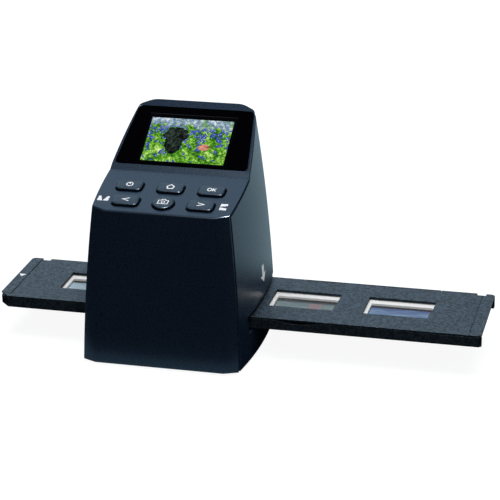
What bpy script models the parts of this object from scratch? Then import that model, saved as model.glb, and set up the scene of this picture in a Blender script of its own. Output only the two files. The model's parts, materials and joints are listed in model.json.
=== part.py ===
"""A film and slide scanner: a wedge-shaped body with a screen and six buttons, and a slide
holder that slides through it. Metres, +Z up. The origin is on the table under the middle of
the holder; the body stands to the left of it, over the second slide from the left."""
import math

import bmesh
import bpy
from mathutils import Matrix, Vector

# Body: plan and heights
BODY_X = -0.0355                 # middle of the body, and of the light path
FOOT_STANDOFF = 0.0012           # feet show this much under the base
BASE_Z = FOOT_STANDOFF
HALF_WIDTH_BASE = 0.0455         # at the ends of a side, at the base
HALF_WIDTH_TOP = 0.0345          # at the ends of a side, at the top
SIDE_BOW_HEIGHT = 0.00204        # how far a side bulges between base and top
SIDE_BOW_BASE = 0.0034           # how far a side bulges between front and back, at the base
SIDE_BOW_TOP = 0.0022            # the same at the top
FRONT_CHAMFER_WIDTH = 0.0081     # front corners, across the body
FRONT_CHAMFER_DEPTH = 0.0035     # front corners, front to back
BACK_CHAMFER_WIDTH = 0.0078
BACK_CHAMFER_DEPTH = 0.0038
FRONT_LEAN_RUN = 0.0087          # how far the front face leans back to its top
FRONT_TOP_Z = 0.0901             # front edge of the button deck
DECK_RUN = 0.0421                # the deck, front to back
DECK_RISE = 0.0091
STRIP_RUN = 0.0031               # the strip between the deck and the screen frame
STRIP_RISE = 0.0030
SCREEN_SLOPE = math.radians(32.0)
EDGE_ROUNDING = 0.0010           # rounded outer edges of the cover
HOUSING_ROUNDING = 0.0003
TOP_LOFT_Z = 0.145               # the lofted plan runs up past the roof
WALL = 0.0020                    # side and back walls
COVER_WALL = 0.0022              # front face, deck and screen frame
COVER_RIM = 0.0026               # thicker rim of the front cover
COVER_RIM_WIDTH = 0.0024
COVER_BOTTOM_RIM = 0.0040
COVER_INSET = 0.0002             # the cover stands this far inside the housing
SEAM_WIDTH = 0.0011              # dark seam in the sides between cover and housing
SEAM_DEPTH = 0.0009
FIT = 0.0003                     # clearance between pieces that touch
OVERRUN = 0.010                  # cutters run this far past what they cut
SHORT_OVERRUN = 0.0025           # where a longer cutter would reach the next wall
WELD = 0.000005                  # points this close are one
FLAT_ANGLE = math.radians(0.5)   # edges flatter than this are dissolved
SHARP_ANGLE = math.radians(30)   # edges sharper than this are rounded
WALL_ANGLE = math.radians(40)    # the same for the housing, whose sides are faceted
CAP_ANGLE = math.radians(50)     # the same for a button's cap
SIDE_STEPS = 8                   # facets along a bowed side
LOFT_LEVELS = 6                  # plan levels from base to top
CORNER_STEPS = 4                 # facets of a rounded corner
ROUND_SIDES = 24                 # facets of lenses, caps and sockets
FOOT_SIDES = 20
BOSS_SIDES = 16
POST_SIDES = 12
SCREW_SIDES = 8
SCOOP_SIDES = 96                 # of the large circle that the thumb scoop is cut from

# Slide holder
HOLDER_LENGTH = 0.2826
HOLDER_WIDTH = 0.060
HOLDER_BACK_GAP = 0.0060         # from its far edge to the body's back
HOLDER_BOTTOM_Z = 0.0172
HOLDER_TOP_Z = 0.0241
WINDOW_PITCH = 0.055
WINDOW_LENGTH = 0.0384
WINDOW_WIDTH = 0.0242
FIRST_WINDOW_X = 0.0353          # window centres at this and a pitch further, both sides
LID_EDGE = 0.0008                # thin flange of the lid over the tray's walls
LID_THICKNESS = 0.0017
TRAY_WALL = 0.0018
GROOVE_INSET = 0.0067            # grooves across the holder, from its ends
GROOVE_WIDTH = 0.0009
GROOVE_DEPTH = 0.0004
GROOVE_END_MARGIN = 0.0030
CLIP_SLOT_X = 0.0120             # short slots in the lid, near its middle
CLIP_SLOT_INSET = 0.0014         # from the near edge
CLIP_SLOT_LENGTH = 0.0096
SLIT_X = 0.0165                  # slits in the near wall
SLIT_WIDTH = 0.0006
SLIT_DEPTH = 0.0005
END_CHAMFER = 0.0057             # near left corner of the holder
HOLDER_CORNER = 0.0015
SCOOP_X = 0.0375                 # thumb scoop in the tray's near wall
SCOOP_WIDTH = 0.0245
SCOOP_DEPTH = 0.0018             # below the lid's flange
NOTCH_WIDTH = 0.0052             # big notches in the far edge
NOTCH_DEPTH = 0.0026
LEFT_NOTCH_INSET = 0.0093        # from the holder's left end
RIGHT_NOTCH_INSET = 0.0077       # from its right end
HINGE_LENGTH = 0.0815            # each of the lid's two hinge reliefs
LEFT_HINGE_SHIFT = -0.0032       # from the middle between the left windows
RIGHT_HINGE_SHIFT = 0.0066       # from the middle between the right windows
HINGE_RELIEF = 0.0012            # depth of the relief, front to back
HINGE_PIN_RADIUS = 0.0005

# Slide mounts and their film
MOUNT_SIZE = 0.0500              # the standard slide mount
MOUNT_THICKNESS = 0.0019
APERTURE_LENGTH = 0.0345
APERTURE_WIDTH = 0.0228
APERTURE_SHIFT = -0.0006         # the aperture sits a little nearer than the window
MOUNT_POCKET_CLEARANCE = 0.0003
FILM_MARGIN = 0.0020             # film reaches this far past the aperture
FILM_THICKNESS = 0.0006

# Feet and base
BASE_THICKNESS = 0.0022
FOOT_RADIUS = 0.0055
FOOT_THICKNESS = 0.0016          # of which the standoff shows
FOOT_INSET_X = 0.0105            # from the side
FOOT_INSET_Y = 0.0135            # from front and back
BOSS_RADIUS = 0.0035
SCREW_RADIUS = 0.0012
SCREW_HOLE_RADIUS = 0.0015
SCREW_HEAD_RADIUS = 0.0024
SCREW_HEAD_HEIGHT = 0.0012
BOSS_TOP_Z = 0.0132
SIDE_BOSS_INSET = 0.0210         # from the back
FRONT_BOSS_X = 0.0215

# Film guides, light and lens
GUIDE_LENGTH = 0.077             # across the body, between its walls
GUIDE_PLATE = 0.0020
GUIDE_RAIL_Y = 0.0018            # far rail, front to back
GUIDE_BLOCK_Y = 0.0085           # near rail, front to back
CHANNEL_SIDE_GAP = 0.0008        # holder to rail
CHANNEL_HEIGHT_GAP = 0.0006      # holder to guide, above and below
SLOT_GAP = 0.0010                # from the holder down to the edge of the housing's slot
SLOT_HEAD_GAP = 0.0029
SLOT_NEAR_GAP = 0.0078
SLOT_FAR_GAP = 0.0024
LIGHT_LENGTH = 0.040
LIGHT_WIDTH = 0.028
LIGHT_BOX_WALL = 0.0018
BOARD = 0.0016                   # thickness of the circuit boards
DIFFUSER = 0.0020
DIODE_SIZE = 0.0035
DIODE_HEIGHT = 0.0008
DIODE_COLUMNS = 3
DIODE_ROWS = 2
POST_RADIUS = 0.0030
TUNNEL_LENGTH = 0.046
TUNNEL_WIDTH = 0.034
TUNNEL_WALL = 0.0020
TUNNEL_TOP_Z = 0.0640
TUNNEL_FLANGE = 0.0055
TUNNEL_DECK_LENGTH = 0.062
TUNNEL_DECK_WIDTH = 0.046
TUNNEL_DECK = 0.0025
BARREL_RADIUS = 0.0070
BARREL_FLANGE_RADIUS = 0.0095
BARREL_FLANGE = 0.0015
BARREL_LENGTH = 0.018
BARREL_WALL = 0.0012
LENS_RADIUS_GAP = 0.0003
LENS_THICKNESS = 0.0030
LENS_END_GAP = 0.0014
SENSOR_BOARD_SIZE = 0.030
SENSOR_BOARD_Z = 0.0720
SENSOR_SIZE = 0.0130
SENSOR_HEIGHT = 0.0013
SENSOR_POST_INSET = 0.0035
MAIN_BOARD_Z = 0.0800
MAIN_BOARD_LENGTH = 0.060
MAIN_BOARD_OVERHANG = 0.0020     # the deck under the board reaches this far past its front
STANDOFF_RADIUS = 0.0025
CHIP_SIZE = 0.0120
CHIP_HEIGHT = 0.0015
CHIP_MARGIN = 0.0040

# Sockets on the back
CARD_LENGTH = 0.0280
CARD_DEPTH = 0.0280
CARD_HEIGHT = 0.0032
CARD_MOUTH = 0.0246
CARD_MOUTH_HEIGHT = 0.0021
CARD_X = -0.0120                 # from the body's middle
USB_WIDTH = 0.0076
USB_DEPTH = 0.0092
USB_HEIGHT = 0.0040
USB_MOUTH_WALL = 0.0005
USB_X = 0.0125
VIDEO_RADIUS = 0.0030
VIDEO_BORE = 0.0018
VIDEO_DEPTH = 0.0120
VIDEO_X = 0.0230
SOCKET_RECESS = 0.0003

# Screen
SCREEN_TOP_BAND = 0.00574        # from the glass's upper edge to the back
GLASS_THICKNESS = 0.0009
GLASS_BOTTOM_MARGIN = 0.0002     # glass edge above the strip
GLASS_LENGTH = 0.0437            # up the slope
GLASS_HALF_BOTTOM = 0.0390
GLASS_HALF_TOP = 0.0343
GLASS_CORNER = 0.0030
LCD_LENGTH = 0.0595
LCD_WIDTH = 0.0414
LCD_THICKNESS = 0.0028
LCD_WINDOW_LENGTH = 0.0520
LCD_WINDOW_WIDTH = 0.0372
LCD_CENTRE = 0.0202              # up the slope from the glass's lower edge
CABLE_WIDTH = 0.0120
CABLE_THICKNESS = 0.0004
CABLE_PLUG_HEIGHT = 0.0014
CABLE_PLUG_DEPTH = 0.0040
CABLE_RUN = 0.0100               # along the back of the screen module
CABLE_DROP = 0.0060              # straight down at both ends

# Buttons, measured along the deck from the fold down and across from the middle
ROW_ONE = 0.0169
ROW_TWO = 0.0327
OUTER_ONE = 0.0238
OUTER_TWO = 0.0215
CAP_LENGTH = 0.0150
CAP_WIDTH = 0.0096
CAP_CORNER = 0.0026
ROUND_CAP_RADIUS = 0.0061
CAP_RISE = 0.0016                # above the deck
CAP_GAP = 0.0005                 # round a cap in its hole
CAP_EDGE = 0.0007                # rounded top edge of a cap
CAP_FLANGE = 0.0010              # flange past the cap, under the deck
CAP_FLANGE_THICKNESS = 0.0012
STEM_RADIUS = 0.0014
STEM_WELL_DEPTH = 0.0009         # stem's end inside its well
WELL_BLOCK_SIZE = 0.0060         # raised wells of the key pad
WELL_TOP_DEPTH = 0.0050          # below the deck
WELL_BLOCK_HEIGHT = 0.0032
WELL_RADIUS = 0.0019
KEY_SHEET = 0.0008
BUTTON_TRAVEL = 0.0008
WELL_SPARE = 0.0007              # under the stem of a pressed button
KEY_BOARD_LENGTH = 0.0660
KEY_BOARD_MARGIN = 0.0060        # board past the button rows
KEY_BOSS_RADIUS = 0.0021
KEY_SCREW_RADIUS = 0.0008
KEY_SCREW_HOLE = 0.0011
KEY_SCREW_HEAD = 0.0017
KEY_BOSS_X = 0.0118

# Detent spring in the near rail
SPRING_LENGTH = 0.024
SPRING_HEIGHT = 0.0034
SPRING_THICKNESS = 0.0004
SPRING_POCKET = 0.0024
SPRING_CLEAR = 0.0004            # bump to holder
SPRING_BUMP_SHARE = 0.18         # half-length of the bump over the spring's length

# Places that follow from the sizes
SCREEN_RUN = (GLASS_BOTTOM_MARGIN + GLASS_LENGTH + SCREEN_TOP_BAND) * math.cos(SCREEN_SLOPE)
BODY_DEPTH = FRONT_LEAN_RUN + DECK_RUN + STRIP_RUN + SCREEN_RUN
FRONT_Y = -BODY_DEPTH / 2
BACK_Y = BODY_DEPTH / 2
FRONT_TOP_Y = FRONT_Y + FRONT_LEAN_RUN
FOLD_Y = FRONT_TOP_Y + DECK_RUN
FOLD_Z = FRONT_TOP_Z + DECK_RISE
STRIP_TOP_Y = FOLD_Y + STRIP_RUN
STRIP_TOP_Z = FOLD_Z + STRIP_RISE
GROOVE_X = HOLDER_LENGTH / 2 - GROOVE_INSET
NOTCH_PLACES = (LEFT_NOTCH_INSET - HOLDER_LENGTH / 2, HOLDER_LENGTH / 2 - RIGHT_NOTCH_INSET)
PAIR_MIDDLE_X = FIRST_WINDOW_X + WINDOW_PITCH / 2
HINGE_PLACES = (LEFT_HINGE_SHIFT - PAIR_MIDDLE_X, PAIR_MIDDLE_X + RIGHT_HINGE_SHIFT)
HOLDER_FAR_Y = BACK_Y - HOLDER_BACK_GAP
HOLDER_NEAR_Y = HOLDER_FAR_Y - HOLDER_WIDTH
HOLDER_Y = (HOLDER_NEAR_Y + HOLDER_FAR_Y) / 2
SIDE_BOSS_Y = BACK_Y - SIDE_BOSS_INSET
MAIN_BOARD_FRONT_Y = HOLDER_Y - TUNNEL_DECK_WIDTH / 2 + MAIN_BOARD_OVERHANG

COLOURS = {
    "casing": ((0.030, 0.045, 0.062, 1), 0.5, 0.0),
    "button": ((0.045, 0.060, 0.075, 1), 0.45, 0.0),
    "glass": ((0.004, 0.004, 0.006, 1), 0.08, 0.0),
    "picture": ((0.10, 0.30, 0.08, 1), 0.3, 0.0),
    "rubber": ((0.02, 0.02, 0.02, 1), 0.8, 0.0),
    "steel": ((0.55, 0.56, 0.58, 1), 0.35, 1.0),
    "board": ((0.02, 0.16, 0.07, 1), 0.5, 0.0),
    "chip": ((0.015, 0.015, 0.018, 1), 0.5, 0.0),
    "inner": ((0.018, 0.018, 0.020, 1), 0.7, 0.0),
    "diffuser": ((0.85, 0.86, 0.88, 1), 0.4, 0.0),
    "lens": ((0.10, 0.12, 0.16, 1), 0.05, 0.0),
    "holder": ((0.050, 0.065, 0.082, 1), 0.65, 0.0),
    "mount": ((0.85, 0.86, 0.88, 1), 0.5, 0.0),
    "film": ((0.10, 0.13, 0.16, 1), 0.15, 0.0),
    "cable": ((0.60, 0.34, 0.08, 1), 0.4, 0.0),
}

parts_collection = None
cutters_collection = None


def start_scene():
    """An empty scene with one collection for the parts and one for the cutters."""
    global parts_collection, cutters_collection
    for old in list(bpy.data.objects):
        bpy.data.objects.remove(old)
    parts_collection = bpy.data.collections.new("film_scanner")
    cutters_collection = bpy.data.collections.new("cutters")
    for collection in (parts_collection, cutters_collection):
        bpy.context.scene.collection.children.link(collection)


def material(kind):
    """The Principled material of a kind of surface, made once."""
    found = bpy.data.materials.get(kind)
    if found:
        return found
    colour, roughness, metallic = COLOURS[kind]
    made = bpy.data.materials.new(kind)
    made.use_nodes = True
    shader = made.node_tree.nodes["Principled BSDF"]
    shader.inputs["Base Color"].default_value = colour
    shader.inputs["Roughness"].default_value = roughness
    shader.inputs["Metallic"].default_value = metallic
    return made


# Shapes

def put(obj, kind=None):
    """Link an object as a part of a kind, or as a hidden cutter when kind is None."""
    if kind:
        parts_collection.objects.link(obj)
        obj.data.materials.clear()
        obj.data.materials.append(material(kind))
    else:
        cutters_collection.objects.link(obj)
        obj.hide_render = True
        obj.display_type = "WIRE"
    return obj


def object_from(name, build, kind=None):
    """A mesh object whose bmesh is filled by build."""
    bm = bmesh.new()
    build(bm)
    bmesh.ops.recalc_face_normals(bm, faces=bm.faces)
    mesh = bpy.data.meshes.new(name)
    bm.to_mesh(mesh)
    bm.free()
    return put(bpy.data.objects.new(name, mesh), kind)


def box(name, low, high, kind=None):
    """A box between two corners."""
    low, high = Vector(low), Vector(high)

    def build(bm):
        bmesh.ops.create_cube(bm, size=1.0)
        bmesh.ops.scale(bm, vec=high - low, verts=bm.verts)
        bmesh.ops.translate(bm, vec=(low + high) / 2, verts=bm.verts)
    return object_from(name, build, kind)


def cylinder(name, centre, radius, low, high, kind=None, sides=BOSS_SIDES, axis="Z"):
    """A cylinder about a line along X, Y or Z through centre, from low to high on it."""
    turns = {"X": Matrix.Rotation(math.radians(90), 3, "Y"),
             "Y": Matrix.Rotation(math.radians(90), 3, "X"), "Z": Matrix.Identity(3)}
    place = Vector(centre)
    place["XYZ".index(axis)] = (low + high) / 2

    def build(bm):
        bmesh.ops.create_cone(bm, cap_ends=True, segments=sides, radius1=radius,
                              radius2=radius, depth=high - low)
        bmesh.ops.rotate(bm, matrix=turns[axis], cent=(0, 0, 0), verts=bm.verts)
        bmesh.ops.translate(bm, vec=place, verts=bm.verts)
    return object_from(name, build, kind)


def plate(name, outline, low, high, kind=None, frame=None):
    """A flat outline thickened from low to high, in a frame whose Z is the thickness."""
    curve = bpy.data.curves.new(name, "CURVE")
    curve.dimensions = "2D"
    curve.fill_mode = "BOTH"
    curve.extrude = (high - low) / 2
    spline = curve.splines.new("POLY")
    spline.points.add(len(outline) - 1)
    for point, (x, y) in zip(spline.points, outline):
        point.co = (x, y, 0, 1)
    spline.use_cyclic_u = True
    holder = bpy.data.objects.new(name + "_outline", curve)
    cutters_collection.objects.link(holder)
    depsgraph = bpy.context.evaluated_depsgraph_get()
    mesh = bpy.data.meshes.new_from_object(holder.evaluated_get(depsgraph))
    bpy.data.objects.remove(holder)
    bm = bmesh.new()
    bm.from_mesh(mesh)
    bmesh.ops.remove_doubles(bm, verts=bm.verts, dist=WELD)
    bmesh.ops.dissolve_limit(bm, angle_limit=FLAT_ANGLE, verts=bm.verts, edges=bm.edges)
    bmesh.ops.translate(bm, vec=(0, 0, (low + high) / 2), verts=bm.verts)
    if frame:
        bmesh.ops.transform(bm, matrix=frame, verts=bm.verts)
    bmesh.ops.recalc_face_normals(bm, faces=bm.faces)
    bm.to_mesh(mesh)
    bm.free()
    mesh.name = name
    return put(bpy.data.objects.new(name, mesh), kind)


def combine(target, tool, operation="DIFFERENCE"):
    """Cut a tool out of the target, or join or intersect them, at once."""
    modifier = target.modifiers.new(operation.lower(), "BOOLEAN")
    modifier.operation = operation
    modifier.solver = "EXACT"
    modifier.object = tool
    apply_modifiers(target)
    tool_mesh = tool.data
    bpy.data.objects.remove(tool)
    bpy.data.meshes.remove(tool_mesh)
    return target


def cut(target, *tools):
    for tool in tools:
        combine(target, tool)
    return target


def join(target, *tools):
    for tool in tools:
        combine(target, tool, "UNION")
    return target


def number(name, pieces, kind):
    """Make parts of like pieces, named name_1, name_2 and so on."""
    for count, piece in enumerate(pieces, start=1):
        put_as_part(piece, "%s_%d" % (name, count), kind)


def apply_modifiers(obj):
    """Replace the object's mesh by what its modifiers make of it."""
    depsgraph = bpy.context.evaluated_depsgraph_get()
    mesh = bpy.data.meshes.new_from_object(obj.evaluated_get(depsgraph))
    old = obj.data
    obj.modifiers.clear()
    obj.data = mesh
    bpy.data.meshes.remove(old)
    bm = bmesh.new()
    bm.from_mesh(mesh)
    bmesh.ops.remove_doubles(bm, verts=bm.verts, dist=WELD)
    bmesh.ops.dissolve_degenerate(bm, dist=WELD, edges=bm.edges)
    bm.to_mesh(mesh)
    bm.free()


def round_edges(obj, width, segments=2, angle=SHARP_ANGLE):
    """Bevel the edges sharper than an angle."""
    modifier = obj.modifiers.new("rounding", "BEVEL")
    modifier.width = width
    modifier.segments = segments
    modifier.limit_method = "ANGLE"
    modifier.angle_limit = angle
    modifier.use_clamp_overlap = True
    apply_modifiers(obj)
    return obj


def rounded_rectangle(half_x, half_y, radius, steps=CORNER_STEPS):
    """Corner arcs of a rectangle round the origin."""
    points = []
    corners = ((1, 1, 0), (-1, 1, 90), (-1, -1, 180), (1, -1, 270))
    for side_x, side_y, start in corners:
        for step in range(steps + 1):
            angle = math.radians(start + 90 * step / steps)
            points.append((side_x * (half_x - radius) + radius * math.cos(angle),
                           side_y * (half_y - radius) + radius * math.sin(angle)))
    return points


def circle(radius, sides=ROUND_SIDES):
    turns = [math.tau * i / sides for i in range(sides)]
    return [(radius * math.cos(turn), radius * math.sin(turn)) for turn in turns]


def moved(outline, x, y):
    return [(px + x, py + y) for px, py in outline]


# The body's form

def share_of_height(z):
    """0 at the base, 1 at the roof line."""
    return (z - BASE_Z) / (roof_z() - BASE_Z)


def roof_z():
    """Height of the screen frame at the back wall."""
    return STRIP_TOP_Z + (BACK_Y - STRIP_TOP_Y) * math.tan(SCREEN_SLOPE)


def end_half_width(z):
    """Half-width at the ends of a side: a straight taper plus the side's bow."""
    share = share_of_height(z)
    taper = HALF_WIDTH_BASE + (HALF_WIDTH_TOP - HALF_WIDTH_BASE) * share
    return taper + 4 * SIDE_BOW_HEIGHT * share * (1 - share)


def side_bow(z):
    return SIDE_BOW_BASE + (SIDE_BOW_TOP - SIDE_BOW_BASE) * share_of_height(z)


def front_lean():
    return (FRONT_TOP_Y - FRONT_Y) / (FRONT_TOP_Z - BASE_Z)


def front_y(z):
    return FRONT_Y + (z - BASE_Z) * front_lean()


def side_ends(z):
    """Where a side starts and ends, front to back."""
    return front_y(z) + FRONT_CHAMFER_DEPTH, BACK_Y - BACK_CHAMFER_DEPTH


def half_width(y, z):
    """The outer side surface."""
    start, end = side_ends(z)
    place = max(-1.0, min(1.0, 2 * (y - start) / (end - start) - 1))
    return end_half_width(z) + side_bow(z) * (1 - place ** 2)


def plan(z, inset, corner_inset=0.0, open_front=False):
    """The right half of the body's plan at a height, front to back, moved in by insets."""
    start, end = side_ends(z)
    width = end_half_width(z)
    points = []
    if open_front:
        points.append((width - inset, front_y(z) - OVERRUN))
        first = start
    else:
        run = Vector((FRONT_CHAMFER_WIDTH, FRONT_CHAMFER_DEPTH))
        inward = Vector((-run.y, run.x)).normalized() * corner_inset
        base = Vector((width - run.x, front_y(z))) + inward
        points.append(tuple(base - run * (base.y - front_y(z) + FRONT_CHAMFER_DEPTH) / run.y))
        first = base.y + run.y * (width - inset - base.x) / run.x
        points.append((width - inset, first))
    run = Vector((-BACK_CHAMFER_WIDTH, BACK_CHAMFER_DEPTH))
    inward = Vector((-run.y, run.x)).normalized() * inset
    base = Vector((width, end)) + inward
    last = base.y + run.y * (width - inset - base.x) / run.x
    for step in range(1, SIDE_STEPS):
        y = first + (last - first) * step / SIDE_STEPS
        points.append((half_width(y, z) - inset, y))
    points.append((width - inset, last))
    back = BACK_Y - inset
    points.append((base.x + run.x * (back - base.y) / run.y, back))
    return points


def lofted_plan(name, inset, corner_inset=0.0, open_front=False, low=BASE_Z, high=TOP_LOFT_Z):
    """A solid through the body's plans at several heights."""
    def build(bm):
        rings = []
        for level in range(LOFT_LEVELS + 1):
            z = low + (high - low) * level / LOFT_LEVELS
            right = plan(z, inset, corner_inset, open_front)
            left = [(-x, y) for x, y in reversed(right)]
            rings.append([bm.verts.new((BODY_X + x, y, z)) for x, y in right + left])
        for lower, upper in zip(rings, rings[1:]):
            for i in range(len(lower)):
                j = (i + 1) % len(lower)
                bm.faces.new((lower[i], lower[j], upper[j], upper[i]))
        bm.faces.new(rings[0])
        bm.faces.new(rings[-1])
    return object_from(name, build)


def offset_path(path, distance):
    """An open path moved to its right by a distance, with mitred corners."""
    points = [Vector(p) for p in path]
    moved_points = []
    for i, point in enumerate(points):
        before = (point - points[i - 1]).normalized() if i else None
        after = (points[i + 1] - point).normalized() if i < len(points) - 1 else None
        before = before or after
        after = after or before
        normal_before = Vector((before.y, -before.x))
        normal_after = Vector((after.y, -after.x))
        middle = (normal_before + normal_after).normalized()
        moved_points.append(point + middle * distance / middle.dot(normal_before))
    return moved_points


def ribbon(centre, thickness):
    """The outline of a thin strip along an open path."""
    upper = offset_path(centre, thickness / 2)
    lower = offset_path(centre, -thickness / 2)
    return [tuple(p) for p in upper] + [tuple(p) for p in reversed(lower)]


def profile(name, depth, low=BASE_Z - OVERRUN):
    """Everything deeper than a depth behind the front face and under the deck and screen."""
    tail = STRIP_TOP_Y + (TOP_LOFT_Z - STRIP_TOP_Z) / math.tan(SCREEN_SLOPE)
    toe = Vector((FRONT_Y - front_lean() * OVERRUN, BASE_Z - OVERRUN))
    path = [toe, (FRONT_TOP_Y, FRONT_TOP_Z), (FOLD_Y, FOLD_Z), (STRIP_TOP_Y, STRIP_TOP_Z),
            (tail, TOP_LOFT_Z)]
    points = offset_path(path, depth)
    toe_y = points[0].x + (low - points[0].y) * front_lean()
    outline = [(toe_y, low)] + [tuple(p) for p in points[1:]]
    outline.append((points[-1].x, low))
    across = HALF_WIDTH_BASE + OVERRUN
    return plate(name, outline, BODY_X - across, BODY_X + across, frame=SIDE_VIEW)


def plane_frame(origin_y, origin_z, slope):
    """A frame on a sloping face: X across, Y up the slope, Z out of the face."""
    return Matrix.Translation((BODY_X, origin_y, origin_z)) @ Matrix.Rotation(slope, 4, "X")


SIDE_VIEW = Matrix(((0, 0, 1, 0), (1, 0, 0, 0), (0, 1, 0, 0), (0, 0, 0, 1)))
DECK_SLOPE = math.atan2(FOLD_Z - FRONT_TOP_Z, FOLD_Y - FRONT_TOP_Y)
DECK = plane_frame(FOLD_Y, FOLD_Z, DECK_SLOPE)
SCREEN = plane_frame(STRIP_TOP_Y, STRIP_TOP_Z, SCREEN_SLOPE)
PAD_LOW = -WELL_TOP_DEPTH - WELL_BLOCK_HEIGHT    # underside of the key pad, in the deck's frame

# Buttons: name, place across, place down the deck, round or not
BUTTONS = (
    ("power_button", -OUTER_ONE, ROW_ONE, False),
    ("home_button", 0.0, ROW_ONE, False),
    ("ok_button", OUTER_ONE, ROW_ONE, False),
    ("left_button", -OUTER_TWO, ROW_TWO, False),
    ("capture_button", 0.0, ROW_TWO, True),
    ("right_button", OUTER_TWO, ROW_TWO, False),
)


def cap_outline(is_round, grow):
    """A cap's outline, grown by a clearance or a flange."""
    if is_round:
        return circle(ROUND_CAP_RADIUS + grow)
    return rounded_rectangle(CAP_LENGTH / 2 + grow, CAP_WIDTH / 2 + grow, CAP_CORNER + grow)


def key_boss_places():
    """Deck places of the bosses that carry the button board."""
    return [(side * KEY_BOSS_X, -ROW_ONE) for side in (-1, 1)]


def glass_outline(grow=0.0):
    """The glass: narrower at the top, with rounded corners, up the slope from the strip."""
    low = GLASS_BOTTOM_MARGIN - grow
    high = GLASS_BOTTOM_MARGIN + GLASS_LENGTH + grow
    corners = [Vector((GLASS_HALF_BOTTOM + grow, low)), Vector((GLASS_HALF_TOP + grow, high)),
               Vector((-GLASS_HALF_TOP - grow, high)), Vector((-GLASS_HALF_BOTTOM - grow, low))]
    points = []
    for i, corner in enumerate(corners):
        before = (corners[i - 1] - corner).normalized() * (GLASS_CORNER + grow)
        after = (corners[(i + 1) % 4] - corner).normalized() * (GLASS_CORNER + grow)
        for step in range(CORNER_STEPS + 1):
            t = step / CORNER_STEPS
            bend = before * (1 - t) ** 2 + after * t ** 2
            points.append(tuple(corner + bend))
    return points


def boss_with_hole(x, y, low, high):
    """A screw boss and the cutter for its hole."""
    boss = cylinder("boss", (x, y, 0), BOSS_RADIUS, low, high)
    hole = cylinder("hole", (x, y, 0), SCREW_HOLE_RADIUS, low - OVERRUN, high - WALL)
    return boss, hole


def side_boss_places():
    """Screw bosses that grow out of the housing's side walls."""
    reach = half_width(SIDE_BOSS_Y, BASE_Z) - WALL - BOSS_RADIUS + WALL / 2
    return [(BODY_X - reach, SIDE_BOSS_Y), (BODY_X + reach, SIDE_BOSS_Y)]


def front_boss_places():
    """Screw bosses on the inside of the front face."""
    y = front_y(BASE_Z) + COVER_WALL + BOSS_RADIUS
    return [(BODY_X + side * FRONT_BOSS_X, y) for side in (-1, 1)]


BOSS_LOW_Z = BASE_Z + BASE_THICKNESS + FIT
GUIDE_LOW_Z = HOLDER_BOTTOM_Z - CHANNEL_HEIGHT_GAP - GUIDE_PLATE
GUIDE_HIGH_Z = HOLDER_TOP_Z + CHANNEL_HEIGHT_GAP + GUIDE_PLATE
INSIDE_FAR_Y = HOLDER_FAR_Y - NOTCH_DEPTH - TRAY_WALL    # inner side of the tray's far wall
NEAR_RAIL_Y = HOLDER_NEAR_Y - CHANNEL_SIDE_GAP
FAR_RAIL_Y = HOLDER_FAR_Y + CHANNEL_SIDE_GAP
GUIDE_SPLIT_Z = (HOLDER_BOTTOM_Z + HOLDER_TOP_Z) / 2
TRAY_TOP_Z = HOLDER_TOP_Z - LID_EDGE - FIT
LID_LOW_Z = HOLDER_TOP_Z - LID_THICKNESS
MOUNT_LOW_Z = LID_LOW_Z - FIT - MOUNT_THICKNESS


# Body pieces

def front_cover():
    cover = lofted_plan("front_cover", COVER_INSET)
    combine(cover, profile("face", 0.0), "INTERSECT")
    round_edges(cover, EDGE_ROUNDING)
    pocket = lofted_plan("pocket", COVER_INSET + COVER_RIM_WIDTH, COVER_RIM_WIDTH)
    inner_face = profile("inner_face", COVER_WALL, low=BASE_Z + COVER_BOTTOM_RIM)
    combine(pocket, inner_face, "INTERSECT")
    cut(cover, pocket, profile("behind", COVER_RIM))
    for name, x, down, is_round in BUTTONS:
        hole = moved(cap_outline(is_round, CAP_GAP), x, -down)
        cut(cover, plate("hole", hole, -COVER_RIM - SHORT_OVERRUN, OVERRUN, frame=DECK))
    seat_depth = -GLASS_THICKNESS - FIT
    cut(cover, plate("glass_seat", glass_outline(FIT), seat_depth, OVERRUN, frame=SCREEN))
    window = rounded_rectangle(LCD_WINDOW_LENGTH / 2, LCD_WINDOW_WIDTH / 2, FIT)
    window = moved(window, 0, LCD_CENTRE)
    cut(cover, plate("window", window, -COVER_RIM - FIT, OVERRUN, frame=SCREEN))
    for x, y in key_boss_places():
        outline = moved(circle(KEY_BOSS_RADIUS, POST_SIDES), x, y)
        boss = plate("boss", outline, PAD_LOW, -COVER_WALL + FIT, frame=DECK)
        hole = plate("screw_hole", moved(circle(KEY_SCREW_HOLE, SCREW_SIDES), x, y),
                     PAD_LOW - OVERRUN, -COVER_WALL - FIT, frame=DECK)
        cut(join(cover, boss), hole)
    for x, y in front_boss_places():
        boss, hole = boss_with_hole(x, y, BOSS_LOW_Z, BOSS_TOP_Z)
        cut(join(cover, boss), hole)
    return put_as_part(cover, "front_cover", "casing")


def put_as_part(obj, name, kind):
    """Move a finished cutter-side object to the parts."""
    cutters_collection.objects.unlink(obj)
    obj.hide_render = False
    obj.display_type = "TEXTURED"
    obj.name = name
    obj.data.name = name
    return put(obj, kind)


def seam_cutter():
    """The seam round the sides and the back, between the cover's rim and the housing."""
    across = HALF_WIDTH_BASE + OVERRUN
    seam = box("seam", (BODY_X - across, FRONT_Y - OVERRUN, BASE_Z - SHORT_OVERRUN),
               (BODY_X + across, BACK_Y + OVERRUN, TOP_LOFT_Z - SHORT_OVERRUN))
    inside = lofted_plan("inside", SEAM_DEPTH, low=BASE_Z - OVERRUN)
    return cut(seam, inside, profile("behind", COVER_RIM + SEAM_WIDTH))


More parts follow.
